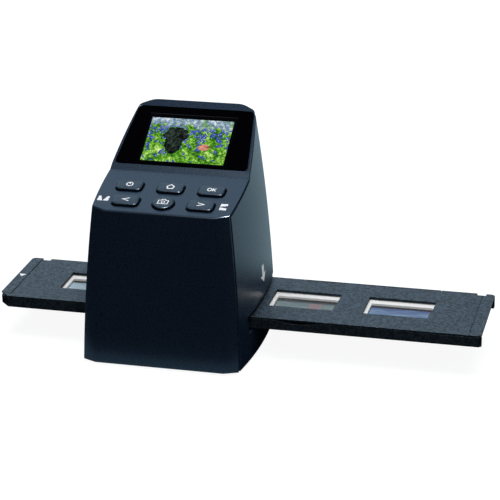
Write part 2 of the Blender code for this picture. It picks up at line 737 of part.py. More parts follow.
def rear_housing():
    housing = lofted_plan("rear_housing", 0.0)
    combine(housing, profile("face", COVER_RIM + FIT), "INTERSECT")
    round_edges(housing, HOUSING_ROUNDING, segments=1, angle=WALL_ANGLE)
    hollow = lofted_plan("hollow", WALL, open_front=True, low=BASE_Z - OVERRUN)
    cut(housing, hollow, seam_cutter())
    across = HALF_WIDTH_BASE + OVERRUN
    near = (BODY_X - across, HOLDER_NEAR_Y - SLOT_NEAR_GAP, HOLDER_BOTTOM_Z - SLOT_GAP)
    far = (BODY_X + across, HOLDER_FAR_Y + SLOT_FAR_GAP, HOLDER_TOP_Z + SLOT_HEAD_GAP)
    cut(housing, box("slot", near, far))
    for x, y in side_boss_places():
        boss, hole = boss_with_hole(x, y, BOSS_LOW_Z, BOSS_TOP_Z)
        cut(join(housing, boss), hole)
    low = MAIN_BOARD_Z + BOARD
    for x, width, height in ((CARD_X, CARD_LENGTH, CARD_HEIGHT), (USB_X, USB_WIDTH, USB_HEIGHT)):
        left = BODY_X + x - width / 2 - FIT
        right = BODY_X + x + width / 2 + FIT
        top = low + height + 2 * FIT
        cut(housing, box("hole", (left, BACK_Y - WALL - FIT, low), (right, BACK_Y + OVERRUN, top)))
    centre = (BODY_X + VIDEO_X, 0, low + FIT + VIDEO_RADIUS)
    cut(housing, cylinder("hole", centre, VIDEO_RADIUS + FIT, BACK_Y - WALL - FIT,
                          BACK_Y + OVERRUN, axis="Y"))
    return put_as_part(housing, "rear_housing", "casing")


def screw_places():
    return side_boss_places() + front_boss_places()


def foot_places():
    half = end_half_width(BASE_Z) - FOOT_INSET_X
    return [(BODY_X + side * half, y) for side in (-1, 1)
            for y in (FRONT_Y + FOOT_INSET_Y, BACK_Y - FOOT_INSET_Y)]


def base_cover():
    top = BASE_Z + BASE_THICKNESS
    base = lofted_plan("base_cover", WALL + FIT, low=BASE_Z, high=top)
    combine(base, profile("behind", COVER_RIM + FIT), "INTERSECT")
    for x, y in screw_places():
        hole = cylinder("hole", (x, y, 0), SCREW_HOLE_RADIUS, BASE_Z - OVERRUN, top + OVERRUN)
        sink = cylinder("sink", (x, y, 0), SCREW_HEAD_RADIUS + FIT, BASE_Z - OVERRUN,
                        BASE_Z + SCREW_HEAD_HEIGHT)
        cut(base, hole, sink)
    for x, y in foot_places():
        recess = cylinder("recess", (x, y, 0), FOOT_RADIUS + FIT, BASE_Z - OVERRUN,
                          FOOT_THICKNESS + FIT)
        cut(base, recess)
    for x, y in guide_post_places():
        join(base, cylinder("post", (x, y, 0), POST_RADIUS, top - FIT, GUIDE_LOW_Z - FIT))
    return put_as_part(base, "base_cover", "casing")


def rubber_feet():
    feet = [cylinder("foot", (x, y, 0), FOOT_RADIUS, 0.0, FOOT_THICKNESS, sides=FOOT_SIDES)
            for x, y in foot_places()]
    number("rubber_foot", feet, "rubber")


def screw(x, y, head_low, head_high, tip):
    """A screw whose head lies between two heights and whose shank ends at the tip."""
    centre = (x, y, 0)
    head = cylinder("screw", centre, SCREW_HEAD_RADIUS, head_low, head_high, sides=POST_SIDES)
    low, high = sorted(((head_low + head_high) / 2, tip))
    return join(head, cylinder("shank", centre, SCREW_RADIUS, low, high, sides=SCREW_SIDES))


def base_screws():
    head_high = BASE_Z + SCREW_HEAD_HEIGHT - FIT
    tip = BOSS_TOP_Z - WALL - FIT
    screws = [screw(x, y, BASE_Z, head_high, tip) for x, y in screw_places()]
    number("base_screw", screws, "steel")


def screen_window():
    glass = plate("screen_window", glass_outline(), -GLASS_THICKNESS, 0.0, frame=SCREEN)
    return put_as_part(glass, "screen_window", "glass")


def lcd_module():
    outline = rounded_rectangle(LCD_LENGTH / 2, LCD_WIDTH / 2, FIT, steps=1)
    outline = moved(outline, 0, LCD_CENTRE)
    top = -COVER_WALL - FIT
    module = plate("lcd_module", outline, top - LCD_THICKNESS, top, frame=SCREEN)
    return put_as_part(module, "lcd_module", "picture")


def cable_plug_y():
    """Middle of the cable's plug, just in front of the card socket."""
    return BACK_Y - SOCKET_RECESS - CARD_DEPTH - FIT - CABLE_PLUG_DEPTH / 2


def screen_cable():
    """The flat cable from the back of the screen module down to its plug on the main board."""
    depth = -COVER_WALL - LCD_THICKNESS - 2 * FIT - CABLE_THICKNESS / 2
    start = SCREEN @ Vector((0, LCD_CENTRE, depth))
    turn = SCREEN @ Vector((0, LCD_CENTRE - CABLE_RUN, depth))
    end_y = cable_plug_y()
    end_z = MAIN_BOARD_Z + BOARD + 2 * FIT + CABLE_PLUG_HEIGHT
    centre = [(start.y, start.z), (turn.y, turn.z), (turn.y, turn.z - CABLE_DROP),
              (end_y, end_z + CABLE_DROP), (end_y, end_z)]
    half = CABLE_WIDTH / 2
    cable = plate("screen_cable", ribbon(centre, CABLE_THICKNESS), BODY_X - half, BODY_X + half,
                  frame=SIDE_VIEW)
    return put_as_part(cable, "screen_cable", "cable")


def button(name, x, down, is_round):
    """A cap with its flange and stem, its origin on the line that it travels along."""
    flange_top = -COVER_WALL - FIT
    flange_low = flange_top - CAP_FLANGE_THICKNESS
    body = plate(name, cap_outline(is_round, 0.0), (flange_low + flange_top) / 2, CAP_RISE)
    round_edges(body, CAP_EDGE, angle=CAP_ANGLE)
    join(body, plate("flange", cap_outline(is_round, CAP_FLANGE), flange_low, flange_top))
    stem_low = -WELL_TOP_DEPTH - STEM_WELL_DEPTH
    join(body, cylinder("stem", (0, 0, 0), STEM_RADIUS, stem_low, flange_low + FIT,
                        sides=POST_SIDES))
    put_as_part(body, name, "button")
    body.matrix_world = DECK @ Matrix.Translation((x, -down, 0))
    return body


def key_board_outline():
    half_y = (ROW_TWO - ROW_ONE) / 2 + KEY_BOARD_MARGIN
    middle = -(ROW_ONE + ROW_TWO) / 2
    return moved(rounded_rectangle(KEY_BOARD_LENGTH / 2, half_y, FIT, steps=1), 0, middle)


def key_pad():
    """The rubber sheet on the button board, with a raised well for each button's stem."""
    pad = plate("key_pad", key_board_outline(), PAD_LOW, PAD_LOW + KEY_SHEET, frame=DECK)
    block_outline = rounded_rectangle(WELL_BLOCK_SIZE / 2, WELL_BLOCK_SIZE / 2, FIT, steps=1)
    well_outline = circle(WELL_RADIUS, POST_SIDES)
    well_low = -WELL_TOP_DEPTH - STEM_WELL_DEPTH - BUTTON_TRAVEL - WELL_SPARE
    for name, x, down, is_round in BUTTONS:
        block = plate("block", moved(block_outline, x, -down), PAD_LOW + KEY_SHEET / 2,
                      -WELL_TOP_DEPTH, frame=DECK)
        well = plate("well", moved(well_outline, x, -down), well_low, OVERRUN, frame=DECK)
        cut(join(pad, block), well)
    hole_outline = circle(KEY_BOSS_RADIUS + FIT, POST_SIDES)
    for x, y in key_boss_places():
        hole = plate("hole", moved(hole_outline, x, y), PAD_LOW - OVERRUN, OVERRUN, frame=DECK)
        cut(pad, hole)
    return put_as_part(pad, "key_pad", "rubber")


def button_board():
    """The board under the key pad and the screws that hold both to the deck."""
    top = PAD_LOW - FIT
    low = top - BOARD
    board = plate("button_board", key_board_outline(), low, top, frame=DECK)
    head_high = low - FIT
    head_low = head_high - SCREW_HEAD_HEIGHT
    shank_low = (head_low + head_high) / 2
    screws = []
    for x, y in key_boss_places():
        hole_outline = moved(circle(KEY_SCREW_HOLE, SCREW_SIDES), x, y)
        cut(board, plate("hole", hole_outline, low - OVERRUN, top + OVERRUN, frame=DECK))
        head_outline = moved(circle(KEY_SCREW_HEAD, SCREW_SIDES), x, y)
        head = plate("head", head_outline, head_low, head_high, frame=DECK)
        shank_outline = moved(circle(KEY_SCREW_RADIUS, SCREW_SIDES), x, y)
        shank = plate("shank", shank_outline, shank_low, -COVER_WALL - 2 * FIT, frame=DECK)
        screws.append(join(head, shank))
    number("button_board_screw", screws, "steel")
    return put_as_part(board, "button_board", "board")


# Film guides, light and lens

def guide_post_places():
    """Posts on the base under the corners of the film guide."""
    half = GUIDE_LENGTH / 2 - 2 * POST_RADIUS
    near = NEAR_RAIL_Y - GUIDE_BLOCK_Y / 2
    far = FAR_RAIL_Y - 2 * POST_RADIUS
    return [(BODY_X + side * half, y) for side in (-1, 1) for y in (near, far)]


def guide_screw_places():
    return [place for place in guide_post_places() if place[1] < NEAR_RAIL_Y]


def film_guide(name, plate_low, rail_low, rail_high, channel_low, channel_high):
    """One half of the film channel: a plate with a rail on its near and far sides."""
    left = BODY_X - GUIDE_LENGTH / 2
    right = BODY_X + GUIDE_LENGTH / 2
    near = NEAR_RAIL_Y - GUIDE_BLOCK_Y
    far = FAR_RAIL_Y + GUIDE_RAIL_Y
    guide = box(name, (left, near, rail_low), (right, far, rail_high))
    channel = box("channel", (left - OVERRUN, NEAR_RAIL_Y, channel_low),
                  (right + OVERRUN, FAR_RAIL_Y, channel_high))
    window = centred_box("window", LIGHT_LENGTH, LIGHT_WIDTH, plate_low - OVERRUN,
                         plate_low + GUIDE_PLATE + OVERRUN)
    cut(guide, channel, window)
    for x, y in guide_screw_places():
        cut(guide, cylinder("hole", (x, y, 0), SCREW_HOLE_RADIUS, rail_low - OVERRUN,
                            rail_high + OVERRUN))
    return guide


def spring_pocket(low, high):
    """The cutter that makes room for the detent spring in a near rail."""
    half = SPRING_LENGTH / 2 + SPRING_THICKNESS
    return box("pocket", (BODY_X - half, NEAR_RAIL_Y - SPRING_POCKET, low),
               (BODY_X + half, NEAR_RAIL_Y + SHORT_OVERRUN, high))


def lower_film_guide():
    plate_top = GUIDE_LOW_Z + GUIDE_PLATE
    guide = film_guide("lower_film_guide", GUIDE_LOW_Z, GUIDE_LOW_Z, GUIDE_SPLIT_Z - FIT / 2,
                       plate_top, GUIDE_SPLIT_Z + OVERRUN)
    cut(guide, spring_pocket(GUIDE_SPLIT_Z - SPRING_HEIGHT / 2 - FIT, GUIDE_SPLIT_Z + OVERRUN))
    return put_as_part(guide, "lower_film_guide", "inner")


def upper_film_guide():
    plate_low = GUIDE_HIGH_Z - GUIDE_PLATE
    guide = film_guide("upper_film_guide", plate_low, GUIDE_SPLIT_Z + FIT / 2, GUIDE_HIGH_Z,
                       GUIDE_SPLIT_Z - OVERRUN, plate_low)
    cut(guide, spring_pocket(GUIDE_SPLIT_Z - OVERRUN, GUIDE_SPLIT_Z + SPRING_HEIGHT / 2 + FIT))
    for x, y in tunnel_screw_places():
        cut(guide, cylinder("hole", (x, y, 0), SCREW_HOLE_RADIUS, plate_low - SHORT_OVERRUN,
                            GUIDE_HIGH_Z + OVERRUN))
    return put_as_part(guide, "upper_film_guide", "inner")


def guide_screws():
    low = GUIDE_HIGH_Z + FIT
    screws = [screw(x, y, low, low + SCREW_HEAD_HEIGHT, GUIDE_LOW_Z + FIT)
              for x, y in guide_screw_places()]
    number("guide_screw", screws, "steel")


def detent_spring():
    """A thin leaf in the near rail with a bump that stands just clear of the holder."""
    root = NEAR_RAIL_Y - SPRING_POCKET + FIT + SPRING_THICKNESS
    tip = HOLDER_NEAR_Y - SPRING_CLEAR
    half = SPRING_LENGTH / 2
    bump = SPRING_LENGTH * SPRING_BUMP_SHARE
    crest = tip - SPRING_THICKNESS / 2
    centre = [(-half, root), (-bump, root), (0.0, crest), (bump, root), (half, root)]
    outline = moved(ribbon(centre, SPRING_THICKNESS), BODY_X, 0)
    spring = plate("detent_spring", outline, GUIDE_SPLIT_Z - SPRING_HEIGHT / 2,
                   GUIDE_SPLIT_Z + SPRING_HEIGHT / 2)
    return put_as_part(spring, "detent_spring", "steel")


def centred_box(name, length, width, low, high, kind=None):
    """A box about the light path."""
    return box(name, (BODY_X - length / 2, HOLDER_Y - width / 2, low),
               (BODY_X + length / 2, HOLDER_Y + width / 2, high), kind)


def light_unit():
    """Light board with its diodes, the box round them and the diffuser on top."""
    length = LIGHT_LENGTH + 2 * LIGHT_BOX_WALL
    width = LIGHT_WIDTH + 2 * LIGHT_BOX_WALL
    board_low = BASE_Z + BASE_THICKNESS + FIT
    board_top = board_low + BOARD
    board = centred_box("light_board", length, width, board_low, board_top)
    diffuser_top = GUIDE_LOW_Z - FIT
    diffuser_low = diffuser_top - DIFFUSER
    centred_box("light_diffuser", length, width, diffuser_low, diffuser_top, "diffuser")
    light_box = centred_box("light_box", length, width, board_top + FIT, diffuser_low - FIT)
    cut(light_box, centred_box("inside", LIGHT_LENGTH, LIGHT_WIDTH, board_low, diffuser_top))
    put_as_part(light_box, "light_box", "diffuser")
    for column in range(DIODE_COLUMNS):
        for row in range(DIODE_ROWS):
            x = BODY_X + LIGHT_LENGTH * ((column + 0.5) / DIODE_COLUMNS - 0.5)
            y = HOLDER_Y + LIGHT_WIDTH * ((row + 0.5) / DIODE_ROWS - 0.5)
            half = DIODE_SIZE / 2
            join(board, box("diode", (x - half, y - half, board_top - FIT),
                            (x + half, y + half, board_top + DIODE_HEIGHT)))
    put_as_part(board, "light_board", "board")


def tunnel_screw_places():
    x = TUNNEL_LENGTH / 2 + TUNNEL_FLANGE / 2
    y = TUNNEL_WIDTH / 2 - TUNNEL_FLANGE / 2
    return [(BODY_X + side * x, HOLDER_Y + side * y) for side in (-1, 1)]


def sensor_post_places():
    reach = SENSOR_BOARD_SIZE / 2 - SENSOR_POST_INSET
    return [(BODY_X + a * reach, HOLDER_Y + b * reach) for a in (-1, 1) for b in (-1, 1)]


def board_post_places():
    x = TUNNEL_DECK_LENGTH / 2 - STANDOFF_RADIUS
    y = TUNNEL_DECK_WIDTH / 2 - STANDOFF_RADIUS
    return [(BODY_X + a * x, HOLDER_Y + b * y) for a in (-1, 1) for b in (-1, 1)]


def optical_tunnel():
    """The dark tunnel over the film window, with the deck that carries the lens and boards."""
    low = GUIDE_HIGH_Z + FIT
    tunnel = centred_box("optical_tunnel", TUNNEL_LENGTH, TUNNEL_WIDTH, low, TUNNEL_TOP_Z)
    flange_length = TUNNEL_LENGTH + 2 * TUNNEL_FLANGE
    flange = centred_box("flange", flange_length, TUNNEL_WIDTH, low, low + TUNNEL_WALL)
    deck_low = TUNNEL_TOP_Z - TUNNEL_DECK
    deck = centred_box("deck", TUNNEL_DECK_LENGTH, TUNNEL_DECK_WIDTH, deck_low, TUNNEL_TOP_Z)
    join(tunnel, flange, deck)
    inside_length = TUNNEL_LENGTH - 2 * TUNNEL_WALL
    inside_width = TUNNEL_WIDTH - 2 * TUNNEL_WALL
    cut(tunnel, centred_box("inside", inside_length, inside_width, low - OVERRUN, deck_low))
    cut(tunnel, cylinder("lens_hole", (BODY_X, HOLDER_Y, 0), BARREL_RADIUS + FIT, low,
                         TUNNEL_TOP_Z + OVERRUN, sides=ROUND_SIDES))
    posts = [(place, SENSOR_BOARD_Z) for place in sensor_post_places()]
    posts += [(place, MAIN_BOARD_Z) for place in board_post_places()]
    for (x, y), board_z in posts:
        join(tunnel, cylinder("post", (x, y, 0), STANDOFF_RADIUS, TUNNEL_TOP_Z - FIT,
                              board_z - FIT, sides=POST_SIDES))
    screws = []
    seat = low + TUNNEL_WALL + FIT
    for x, y in tunnel_screw_places():
        cut(tunnel, cylinder("hole", (x, y, 0), SCREW_HOLE_RADIUS, low - OVERRUN, seat,
                             sides=POST_SIDES))
        screws.append(screw(x, y, seat, seat + SCREW_HEAD_HEIGHT, GUIDE_HIGH_Z - GUIDE_PLATE + FIT))
    number("tunnel_screw", screws, "steel")
    return put_as_part(tunnel, "optical_tunnel", "inner")


def lens():
    """The barrel in the tunnel's deck and the two lenses inside it."""
    flange_low = TUNNEL_TOP_Z + FIT
    top = flange_low + BARREL_FLANGE
    bottom = top - BARREL_LENGTH

    def round_piece(name, radius, low, high, kind=None):
        return cylinder(name, (BODY_X, HOLDER_Y, 0), radius, low, high, kind, ROUND_SIDES)
    barrel = round_piece("lens_barrel", BARREL_RADIUS, bottom, top)
    join(barrel, round_piece("flange", BARREL_FLANGE_RADIUS, flange_low, top))
    inner = BARREL_RADIUS - BARREL_WALL
    cut(barrel, round_piece("bore", inner, bottom - OVERRUN, top + OVERRUN))
    put_as_part(barrel, "lens_barrel", "inner")
    low = bottom + LENS_END_GAP
    high = top - LENS_END_GAP
    round_piece("front_lens", inner - LENS_RADIUS_GAP, low, low + LENS_THICKNESS, "lens")
    round_piece("rear_lens", inner - LENS_RADIUS_GAP, high - LENS_THICKNESS, high, "lens")


def sensor():
    """The sensor's board on its posts, with the sensor under it."""
    size = SENSOR_BOARD_SIZE
    centred_box("sensor_board", size, size, SENSOR_BOARD_Z, SENSOR_BOARD_Z + BOARD, "board")
    top = SENSOR_BOARD_Z - FIT
    centred_box("image_sensor", SENSOR_SIZE, SENSOR_SIZE, top - SENSOR_HEIGHT, top, "chip")


def main_board():
    """The main board on the tunnel's posts, its chips, and the sockets at its back edge."""
    low = MAIN_BOARD_Z
    top = low + BOARD
    back = BACK_Y - WALL - 2 * FIT
    half = MAIN_BOARD_LENGTH / 2
    box("main_board", (BODY_X - half, MAIN_BOARD_FRONT_Y, low), (BODY_X + half, back, top), "board")
    seat = top + FIT
    plug_half = CABLE_WIDTH / 2
    chip_x = BODY_X - half + CHIP_MARGIN
    chip_y = MAIN_BOARD_FRONT_Y + CHIP_MARGIN
    box("processor", (chip_x, chip_y, seat),
        (chip_x + CHIP_SIZE, chip_y + CHIP_SIZE, seat + CHIP_HEIGHT), "chip")
    plug_y = cable_plug_y()
    box("cable_plug", (BODY_X - plug_half, plug_y - CABLE_PLUG_DEPTH / 2, seat),
        (BODY_X + plug_half, plug_y + CABLE_PLUG_DEPTH / 2, seat + CABLE_PLUG_HEIGHT), "chip")
    sockets(seat)


def sockets(seat):
    """Card, USB and video sockets, their mouths almost flush with the back wall."""
    mouth = BACK_Y - SOCKET_RECESS

    def shell(name, x, size, opening, low):
        """A box socket with a mouth, both given as width, depth and height."""
        block = box(name, (x - size[0] / 2, mouth - size[1], seat),
                    (x + size[0] / 2, mouth, seat + size[2]))
        return cut(block, box("mouth", (x - opening[0] / 2, mouth - opening[1], low),
                              (x + opening[0] / 2, mouth + OVERRUN, low + opening[2])))
    card_low = seat + (CARD_HEIGHT - CARD_MOUTH_HEIGHT) / 2
    card = shell("card_socket", BODY_X + CARD_X, (CARD_LENGTH, CARD_DEPTH, CARD_HEIGHT),
                 (CARD_MOUTH, CARD_DEPTH - WALL, CARD_MOUTH_HEIGHT), card_low)
    put_as_part(card, "card_socket", "steel")
    usb_mouth = (USB_WIDTH - 2 * USB_MOUTH_WALL, USB_DEPTH - WALL, USB_HEIGHT - 2 * USB_MOUTH_WALL)
    usb = shell("usb_socket", BODY_X + USB_X, (USB_WIDTH, USB_DEPTH, USB_HEIGHT), usb_mouth,
                seat + USB_MOUTH_WALL)
    put_as_part(usb, "usb_socket", "steel")
    centre = (BODY_X + VIDEO_X, 0, seat + VIDEO_RADIUS)
    video = cylinder("video_socket", centre, VIDEO_RADIUS, mouth - VIDEO_DEPTH, mouth, axis="Y")
    bore = cylinder("bore", centre, VIDEO_BORE, mouth - VIDEO_DEPTH + WALL, mouth + OVERRUN, axis="Y")
    put_as_part(cut(video, bore), "video_socket", "inner")


# Slide holder

def window_places():
    """The windows' middles, from left to right."""
    return [side * (FIRST_WINDOW_X + step * WINDOW_PITCH)
            for side, step in ((-1, 1), (-1, 0), (1, 0), (1, 1))]


def holder_outline():
    """The holder from above, with the cut near left corner."""
    half = HOLDER_LENGTH / 2
    small = HOLDER_CORNER
    cutoff = END_CHAMFER
    return [(-half + cutoff, HOLDER_NEAR_Y), (half - small, HOLDER_NEAR_Y),
            (half, HOLDER_NEAR_Y + small), (half, HOLDER_FAR_Y - small),
            (half - small, HOLDER_FAR_Y), (-half + small, HOLDER_FAR_Y),
            (-half, HOLDER_FAR_Y - small), (-half, HOLDER_NEAR_Y + cutoff)]


def edge_notches():
    """Cutters for the big notches in the far edge."""
    low = HOLDER_BOTTOM_Z - OVERRUN
    high = HOLDER_TOP_Z + OVERRUN
    return [box("notch", (x - NOTCH_WIDTH / 2, HOLDER_FAR_Y - NOTCH_DEPTH, low),
                (x + NOTCH_WIDTH / 2, HOLDER_FAR_Y + OVERRUN, high)) for x in NOTCH_PLACES]


def near_slits():
    """Cutters for the slits in the near wall."""
    return [box("slit", (x - SLIT_WIDTH / 2, HOLDER_NEAR_Y - OVERRUN, HOLDER_BOTTOM_Z - OVERRUN),
                (x + SLIT_WIDTH / 2, HOLDER_NEAR_Y + SLIT_DEPTH, HOLDER_TOP_Z + OVERRUN))
            for x in (-SLIT_X, SLIT_X)]


def window_cutter(x):
    """The cutter for a window through tray or lid."""
    return box("window", (x - WINDOW_LENGTH / 2, HOLDER_Y - WINDOW_WIDTH / 2, HOLDER_BOTTOM_Z - OVERRUN),
               (x + WINDOW_LENGTH / 2, HOLDER_Y + WINDOW_WIDTH / 2, HOLDER_TOP_Z + OVERRUN))


def holder_tray():
    """The tray: walls at the near and far sides, pockets for the mounts, an open right end."""
    tray = plate("holder_tray", holder_outline(), HOLDER_BOTTOM_Z, TRAY_TOP_Z)
    end = HOLDER_LENGTH / 2 + OVERRUN
    lid_seat = box("lid_seat", (-end, HOLDER_NEAR_Y + TRAY_WALL, LID_LOW_Z - FIT),
                   (GROOVE_X, INSIDE_FAR_Y, HOLDER_TOP_Z))
    open_end = box("open_end", (GROOVE_X, HOLDER_NEAR_Y + TRAY_WALL, HOLDER_BOTTOM_Z - OVERRUN),
                   (end, INSIDE_FAR_Y, HOLDER_TOP_Z))
    cut(tray, lid_seat, open_end)
    reach = MOUNT_SIZE / 2 + MOUNT_POCKET_CLEARANCE
    for x in window_places():
        pocket = box("pocket", (x - reach, HOLDER_Y - reach, MOUNT_LOW_Z - FIT),
                     (x + reach, HOLDER_Y + reach, HOLDER_TOP_Z))
        cut(tray, pocket, window_cutter(x))
    cut(tray, *edge_notches(), *near_slits())
    cut(tray, scoop_cutter())
    return put_as_part(tray, "holder_tray", "holder")


def scoop_cutter():
    """The shallow arc in the near wall that a thumb uses to lift the lid."""
    radius = (SCOOP_WIDTH ** 2 / 4 + SCOOP_DEPTH ** 2) / (2 * SCOOP_DEPTH)
    centre = (SCOOP_X, 0, TRAY_TOP_Z - SCOOP_DEPTH + radius)
    return cylinder("scoop", centre, radius, HOLDER_NEAR_Y - OVERRUN,
                    HOLDER_NEAR_Y + TRAY_WALL + FIT, sides=SCOOP_SIDES, axis="Y")


def holder_lid():
    """The lid: a thin flange over the tray's walls and a thicker middle between them."""
    flange_low = HOLDER_TOP_Z - LID_EDGE
    lid = plate("holder_lid", holder_outline(), flange_low, HOLDER_TOP_Z)
    middle = box("middle", (-GROOVE_X + FIT, HOLDER_NEAR_Y + TRAY_WALL + FIT, LID_LOW_Z),
                 (GROOVE_X - FIT, INSIDE_FAR_Y - FIT, HOLDER_TOP_Z - LID_EDGE / 2))
    join(lid, middle)
    for x in window_places():
        cut(lid, window_cutter(x))
    above = HOLDER_TOP_Z + OVERRUN
    for x in (-GROOVE_X, GROOVE_X):
        low = (x - GROOVE_WIDTH / 2, HOLDER_NEAR_Y + GROOVE_END_MARGIN, HOLDER_TOP_Z - GROOVE_DEPTH)
        high = (x + GROOVE_WIDTH / 2, HOLDER_FAR_Y - GROOVE_END_MARGIN, above)
        cut(lid, box("groove", low, high))
    for x in (-CLIP_SLOT_X, CLIP_SLOT_X):
        near = HOLDER_NEAR_Y + CLIP_SLOT_INSET
        low = (x - GROOVE_WIDTH / 2, near, HOLDER_TOP_Z - GROOVE_DEPTH)
        cut(lid, box("clip_slot", low, (x + GROOVE_WIDTH / 2, near + CLIP_SLOT_LENGTH, above)))
    for x in HINGE_PLACES:
        low = (x - HINGE_LENGTH / 2, HOLDER_FAR_Y - HINGE_RELIEF, flange_low - OVERRUN)
        high = (x + HINGE_LENGTH / 2, HOLDER_FAR_Y + OVERRUN, above)
        cut(lid, box("relief", low, high))
    cut(lid, *edge_notches(), *near_slits())
    return put_as_part(lid, "holder_lid", "holder")


def hinge_pins():
    """The two pins that the lid turns on, lying in the reliefs of its far edge."""
    y = HOLDER_FAR_Y - HINGE_PIN_RADIUS
    z = TRAY_TOP_Z + FIT + HINGE_PIN_RADIUS
    reach = HINGE_LENGTH / 2 - FIT
    pins = [cylinder("pin", (0, y, z), HINGE_PIN_RADIUS, x - reach, x + reach,
                     sides=SCREW_SIDES, axis="X") for x in HINGE_PLACES]
    number("hinge_pin", pins, "holder")


def slide(count, x):
    """A slide mount with its film."""
    half = MOUNT_SIZE / 2
    low = MOUNT_LOW_Z
    mount = box("slide_mount", (x - half, HOLDER_Y - half, low),
                (x + half, HOLDER_Y + half, low + MOUNT_THICKNESS))

    def centred(name, margin, bottom, top, kind=None):
        """A box round the aperture, larger by a margin."""
        across = APERTURE_LENGTH / 2 + margin
        along = APERTURE_WIDTH / 2 + margin
        y = HOLDER_Y + APERTURE_SHIFT
        return box(name, (x - across, y - along, bottom), (x + across, y + along, top), kind)
    seat = centred("seat", FILM_MARGIN + FIT, low - OVERRUN, low + FILM_THICKNESS + FIT)
    cut(mount, centred("aperture", 0.0, low - OVERRUN, low + OVERRUN), seat)
    put_as_part(mount, "slide_mount_%d" % count, "mount")
    centred("slide_film_%d" % count, FILM_MARGIN, low, low + FILM_THICKNESS, "film")


def main():
    start_scene()
    front_cover()
    rear_housing()
    base_cover()
    rubber_feet()
    base_screws()
    screen_window()
    lcd_module()
    for name, x, down, is_round in BUTTONS:
        button(name, x, down, is_round)
    key_pad()
    button_board()
    lower_film_guide()
    upper_film_guide()
    guide_screws()
    detent_spring()
    light_unit()
    optical_tunnel()
    lens()
    sensor()
    main_board()
    screen_cable()
    holder_tray()
    holder_lid()
    hinge_pins()
    for count, x in enumerate(window_places(), start=1):
        slide(count, x)


main()
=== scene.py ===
"""The looks of the film and slide scanner: smooth shells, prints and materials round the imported
frame, with the studio and the camera. Metres, +Z up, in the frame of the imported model."""
import json
import math
from contextlib import contextmanager

import bmesh
import bpy
from mathutils import Matrix, Vector

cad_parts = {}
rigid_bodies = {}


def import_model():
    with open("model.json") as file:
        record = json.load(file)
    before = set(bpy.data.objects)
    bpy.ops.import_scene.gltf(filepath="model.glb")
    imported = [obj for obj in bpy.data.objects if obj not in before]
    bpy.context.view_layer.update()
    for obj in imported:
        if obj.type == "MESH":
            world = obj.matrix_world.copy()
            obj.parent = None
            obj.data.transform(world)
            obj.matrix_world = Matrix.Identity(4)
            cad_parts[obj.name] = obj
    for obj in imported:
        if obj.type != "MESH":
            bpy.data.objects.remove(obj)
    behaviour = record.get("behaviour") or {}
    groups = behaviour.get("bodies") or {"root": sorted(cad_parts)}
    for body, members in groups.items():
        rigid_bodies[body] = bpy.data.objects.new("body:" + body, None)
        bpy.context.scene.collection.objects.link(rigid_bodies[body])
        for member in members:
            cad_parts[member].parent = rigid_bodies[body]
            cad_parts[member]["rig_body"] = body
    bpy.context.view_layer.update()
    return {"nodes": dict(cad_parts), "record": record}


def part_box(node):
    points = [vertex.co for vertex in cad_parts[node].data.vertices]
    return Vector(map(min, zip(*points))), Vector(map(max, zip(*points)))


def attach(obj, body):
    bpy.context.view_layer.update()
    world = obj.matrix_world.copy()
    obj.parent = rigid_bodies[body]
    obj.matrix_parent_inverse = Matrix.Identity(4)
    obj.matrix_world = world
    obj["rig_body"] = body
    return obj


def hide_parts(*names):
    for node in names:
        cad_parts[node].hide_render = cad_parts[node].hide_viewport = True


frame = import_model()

BODY = "scanner_body"
HOLDER = "slide_holder"

# The body's form, as in the CAD
BODY_X = -0.0355
SHELL_LOW, SHELL_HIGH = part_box("rear_housing")
BASE_Z = SHELL_LOW.z
FRONT_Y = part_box("front_cover")[0].y
BACK_Y = SHELL_HIGH.y
HALF_WIDTH_BASE = 0.0455
HALF_WIDTH_TOP = 0.0345
SIDE_BOW_HEIGHT = 0.00204
SIDE_BOW_BASE = 0.0034
SIDE_BOW_TOP = 0.0022
FRONT_CHAMFER_WIDTH = 0.0081
FRONT_CHAMFER_DEPTH = 0.0035
BACK_CHAMFER_WIDTH = 0.0078
BACK_CHAMFER_DEPTH = 0.0038
FRONT_TOP_Y = FRONT_Y + 0.0087
FRONT_TOP_Z = 0.0901
FOLD_Y = FRONT_TOP_Y + 0.0421
FOLD_Z = FRONT_TOP_Z + 0.0091
STRIP_TOP_Y = FOLD_Y + 0.0031
STRIP_TOP_Z = FOLD_Z + 0.0030
SCREEN_SLOPE = math.radians(32.0)
DECK_SLOPE = math.atan2(FOLD_Z - FRONT_TOP_Z, FOLD_Y - FRONT_TOP_Y)
FRONT_LEAN = (FRONT_TOP_Y - FRONT_Y) / (FRONT_TOP_Z - BASE_Z)
ROOF_Z = STRIP_TOP_Z + (BACK_Y - STRIP_TOP_Y) * math.tan(SCREEN_SLOPE)
TOP_LOFT_Z = 0.145
WALL = 0.0020
COVER_WALL = 0.0022
COVER_LIP = 0.0004  # the seam starts this far behind the face or the chamfer
COVER_RIM = 0.0019
RIM_FRONT = FRONT_CHAMFER_DEPTH + COVER_RIM
COVER_RIM_WIDTH = 0.0024
COVER_BOTTOM_RIM = 0.0040
COVER_INSET = 0.0002
SEAM_DEPTH = 0.0009
SLOT_GAP = 0.0010  # from the holder to the slot's edges
SLOT_HEAD_GAP = 0.0029
SLOT_NEAR_GAP = 0.0078
SLOT_FAR_GAP = 0.0024
SIDE_CORNER = 0.0020  # the back corners are softer than in the CAD
BACK_CORNER = 0.0030

# Gaps and rounded edges
FIT = 0.0003
HAIRLINE = 0.00005
EDGE_ROUNDING = 0.0009
HOUSING_ROUNDING = 0.0003
LID_ROUNDING = 0.00022
TRAY_ROUNDING = 0.00025
RIM_ROUNDING = 0.0003  # of the cover, its holes and the mounts

